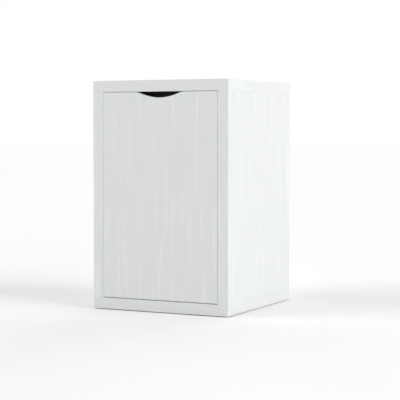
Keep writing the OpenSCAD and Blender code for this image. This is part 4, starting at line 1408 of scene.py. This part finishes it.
@dataclass
class Studio:
    """The white floor, the sky, the softboxes and the camera.

    Attributes:
        azimuth: The camera's angle round from the front, in degrees.
        elevation: The camera's angle above level, in degrees.
        distance: From the camera to the point that it looks at.
        lens: Focal length in millimetres on a 36 mm sensor.
        aim: The point that the camera looks at.
        sky: Strength of the even light from all round.
        lights: The softboxes.
    """

    azimuth: float = 26.66
    elevation: float = 3.02
    distance: float = 5.510
    lens: float = 119.97
    aim: tuple[float, float, float] = (0.0230, 0.0097, 0.4327)
    sky: float = 0.15
    lights: tuple[SoftLight, ...] = (
        SoftLight("right", 90.0, 35.0, 1.33),
        SoftLight("right front", 60.0, 15.0, 0.83),
        SoftLight("left front", -30.0, 35.0, 0.50),
        SoftLight("left", -60.0, 35.0, 1.09),
        SoftLight("left back", -120.0, 35.0, 0.37),
        SoftLight("back left", -150.0, 35.0, 0.35),
        SoftLight("right back", 150.0, 35.0, 0.46),
        SoftLight("back", 180.0, 15.0, 1.21),
        SoftLight("right low", 90.0, 15.0, 0.10),
    )

    def build(self) -> None:
        """Builds the studio."""
        self.floor()
        self.world()
        for light in self.lights:
            light.build()
        self.camera()

    def floor(self) -> None:
        """Lays a wide pale floor."""
        mesh = bmesh.new()
        bmesh.ops.create_circle(mesh, cap_ends=True, radius=60.0, segments=96)
        data = bpy.data.meshes.new("floor")
        mesh.to_mesh(data)
        mesh.free()
        floor = bpy.data.objects.new("floor", data)
        bpy.context.scene.collection.objects.link(floor)
        material = bpy.data.materials.new("floor")
        material.use_nodes = True
        shader = material.node_tree.nodes["Principled BSDF"]
        shader.inputs["Base Color"].default_value = (0.91, 0.91, 0.91, 1)
        shader.inputs["Roughness"].default_value = 0.9
        shader.inputs["Specular IOR Level"].default_value = 0.0
        data.materials.append(material)

    def world(self) -> None:
        """Lights the scene evenly from all round, in front of a plain white backdrop."""
        world = bpy.data.worlds.new("studio")
        bpy.context.scene.world = world
        world.use_nodes = True
        graph = Graph(world.node_tree)
        back = world.node_tree.nodes["Background"]
        back.inputs["Color"].default_value = (1, 1, 1, 1)
        seen = graph.node("ShaderNodeLightPath").outputs["Is Camera Ray"]
        strength = graph.math("MULTIPLY_ADD", seen, 1.0 - self.sky, self.sky)
        world.node_tree.links.new(strength, back.inputs["Strength"])

    def camera(self) -> None:
        """Stands the camera at its angle and makes it the scene's."""
        data = bpy.data.cameras.new("camera")
        data.lens = self.lens
        data.sensor_width = 36.0
        data.clip_end = 200.0
        camera = bpy.data.objects.new("camera", data)
        turn, rise = math.radians(self.azimuth), math.radians(self.elevation)
        back = Vector((math.sin(turn) * math.cos(rise), -math.cos(turn) * math.cos(rise), math.sin(rise)))
        camera.location = Vector(self.aim) + back * self.distance
        camera.rotation_euler = (math.pi / 2 - rise, 0, turn)
        bpy.context.scene.collection.objects.link(camera)
        bpy.context.scene.camera = camera


def main() -> None:
    """Builds the whole object in order, then the studio round it."""
    logging.basicConfig(level=logging.INFO, format="%(name)s: %(message)s")
    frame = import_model()
    bpy.context.scene.view_settings.view_transform = "Standard"
    shop = Workshop(frame)
    Studio().build()
    for assembly in (Case, SteelFrame, Press, Drive, Drawer, Controls, Electrics):
        log.info("building %s", assembly.__name__)
        assembly(shop).build()


if __name__ == "__main__":
    main()
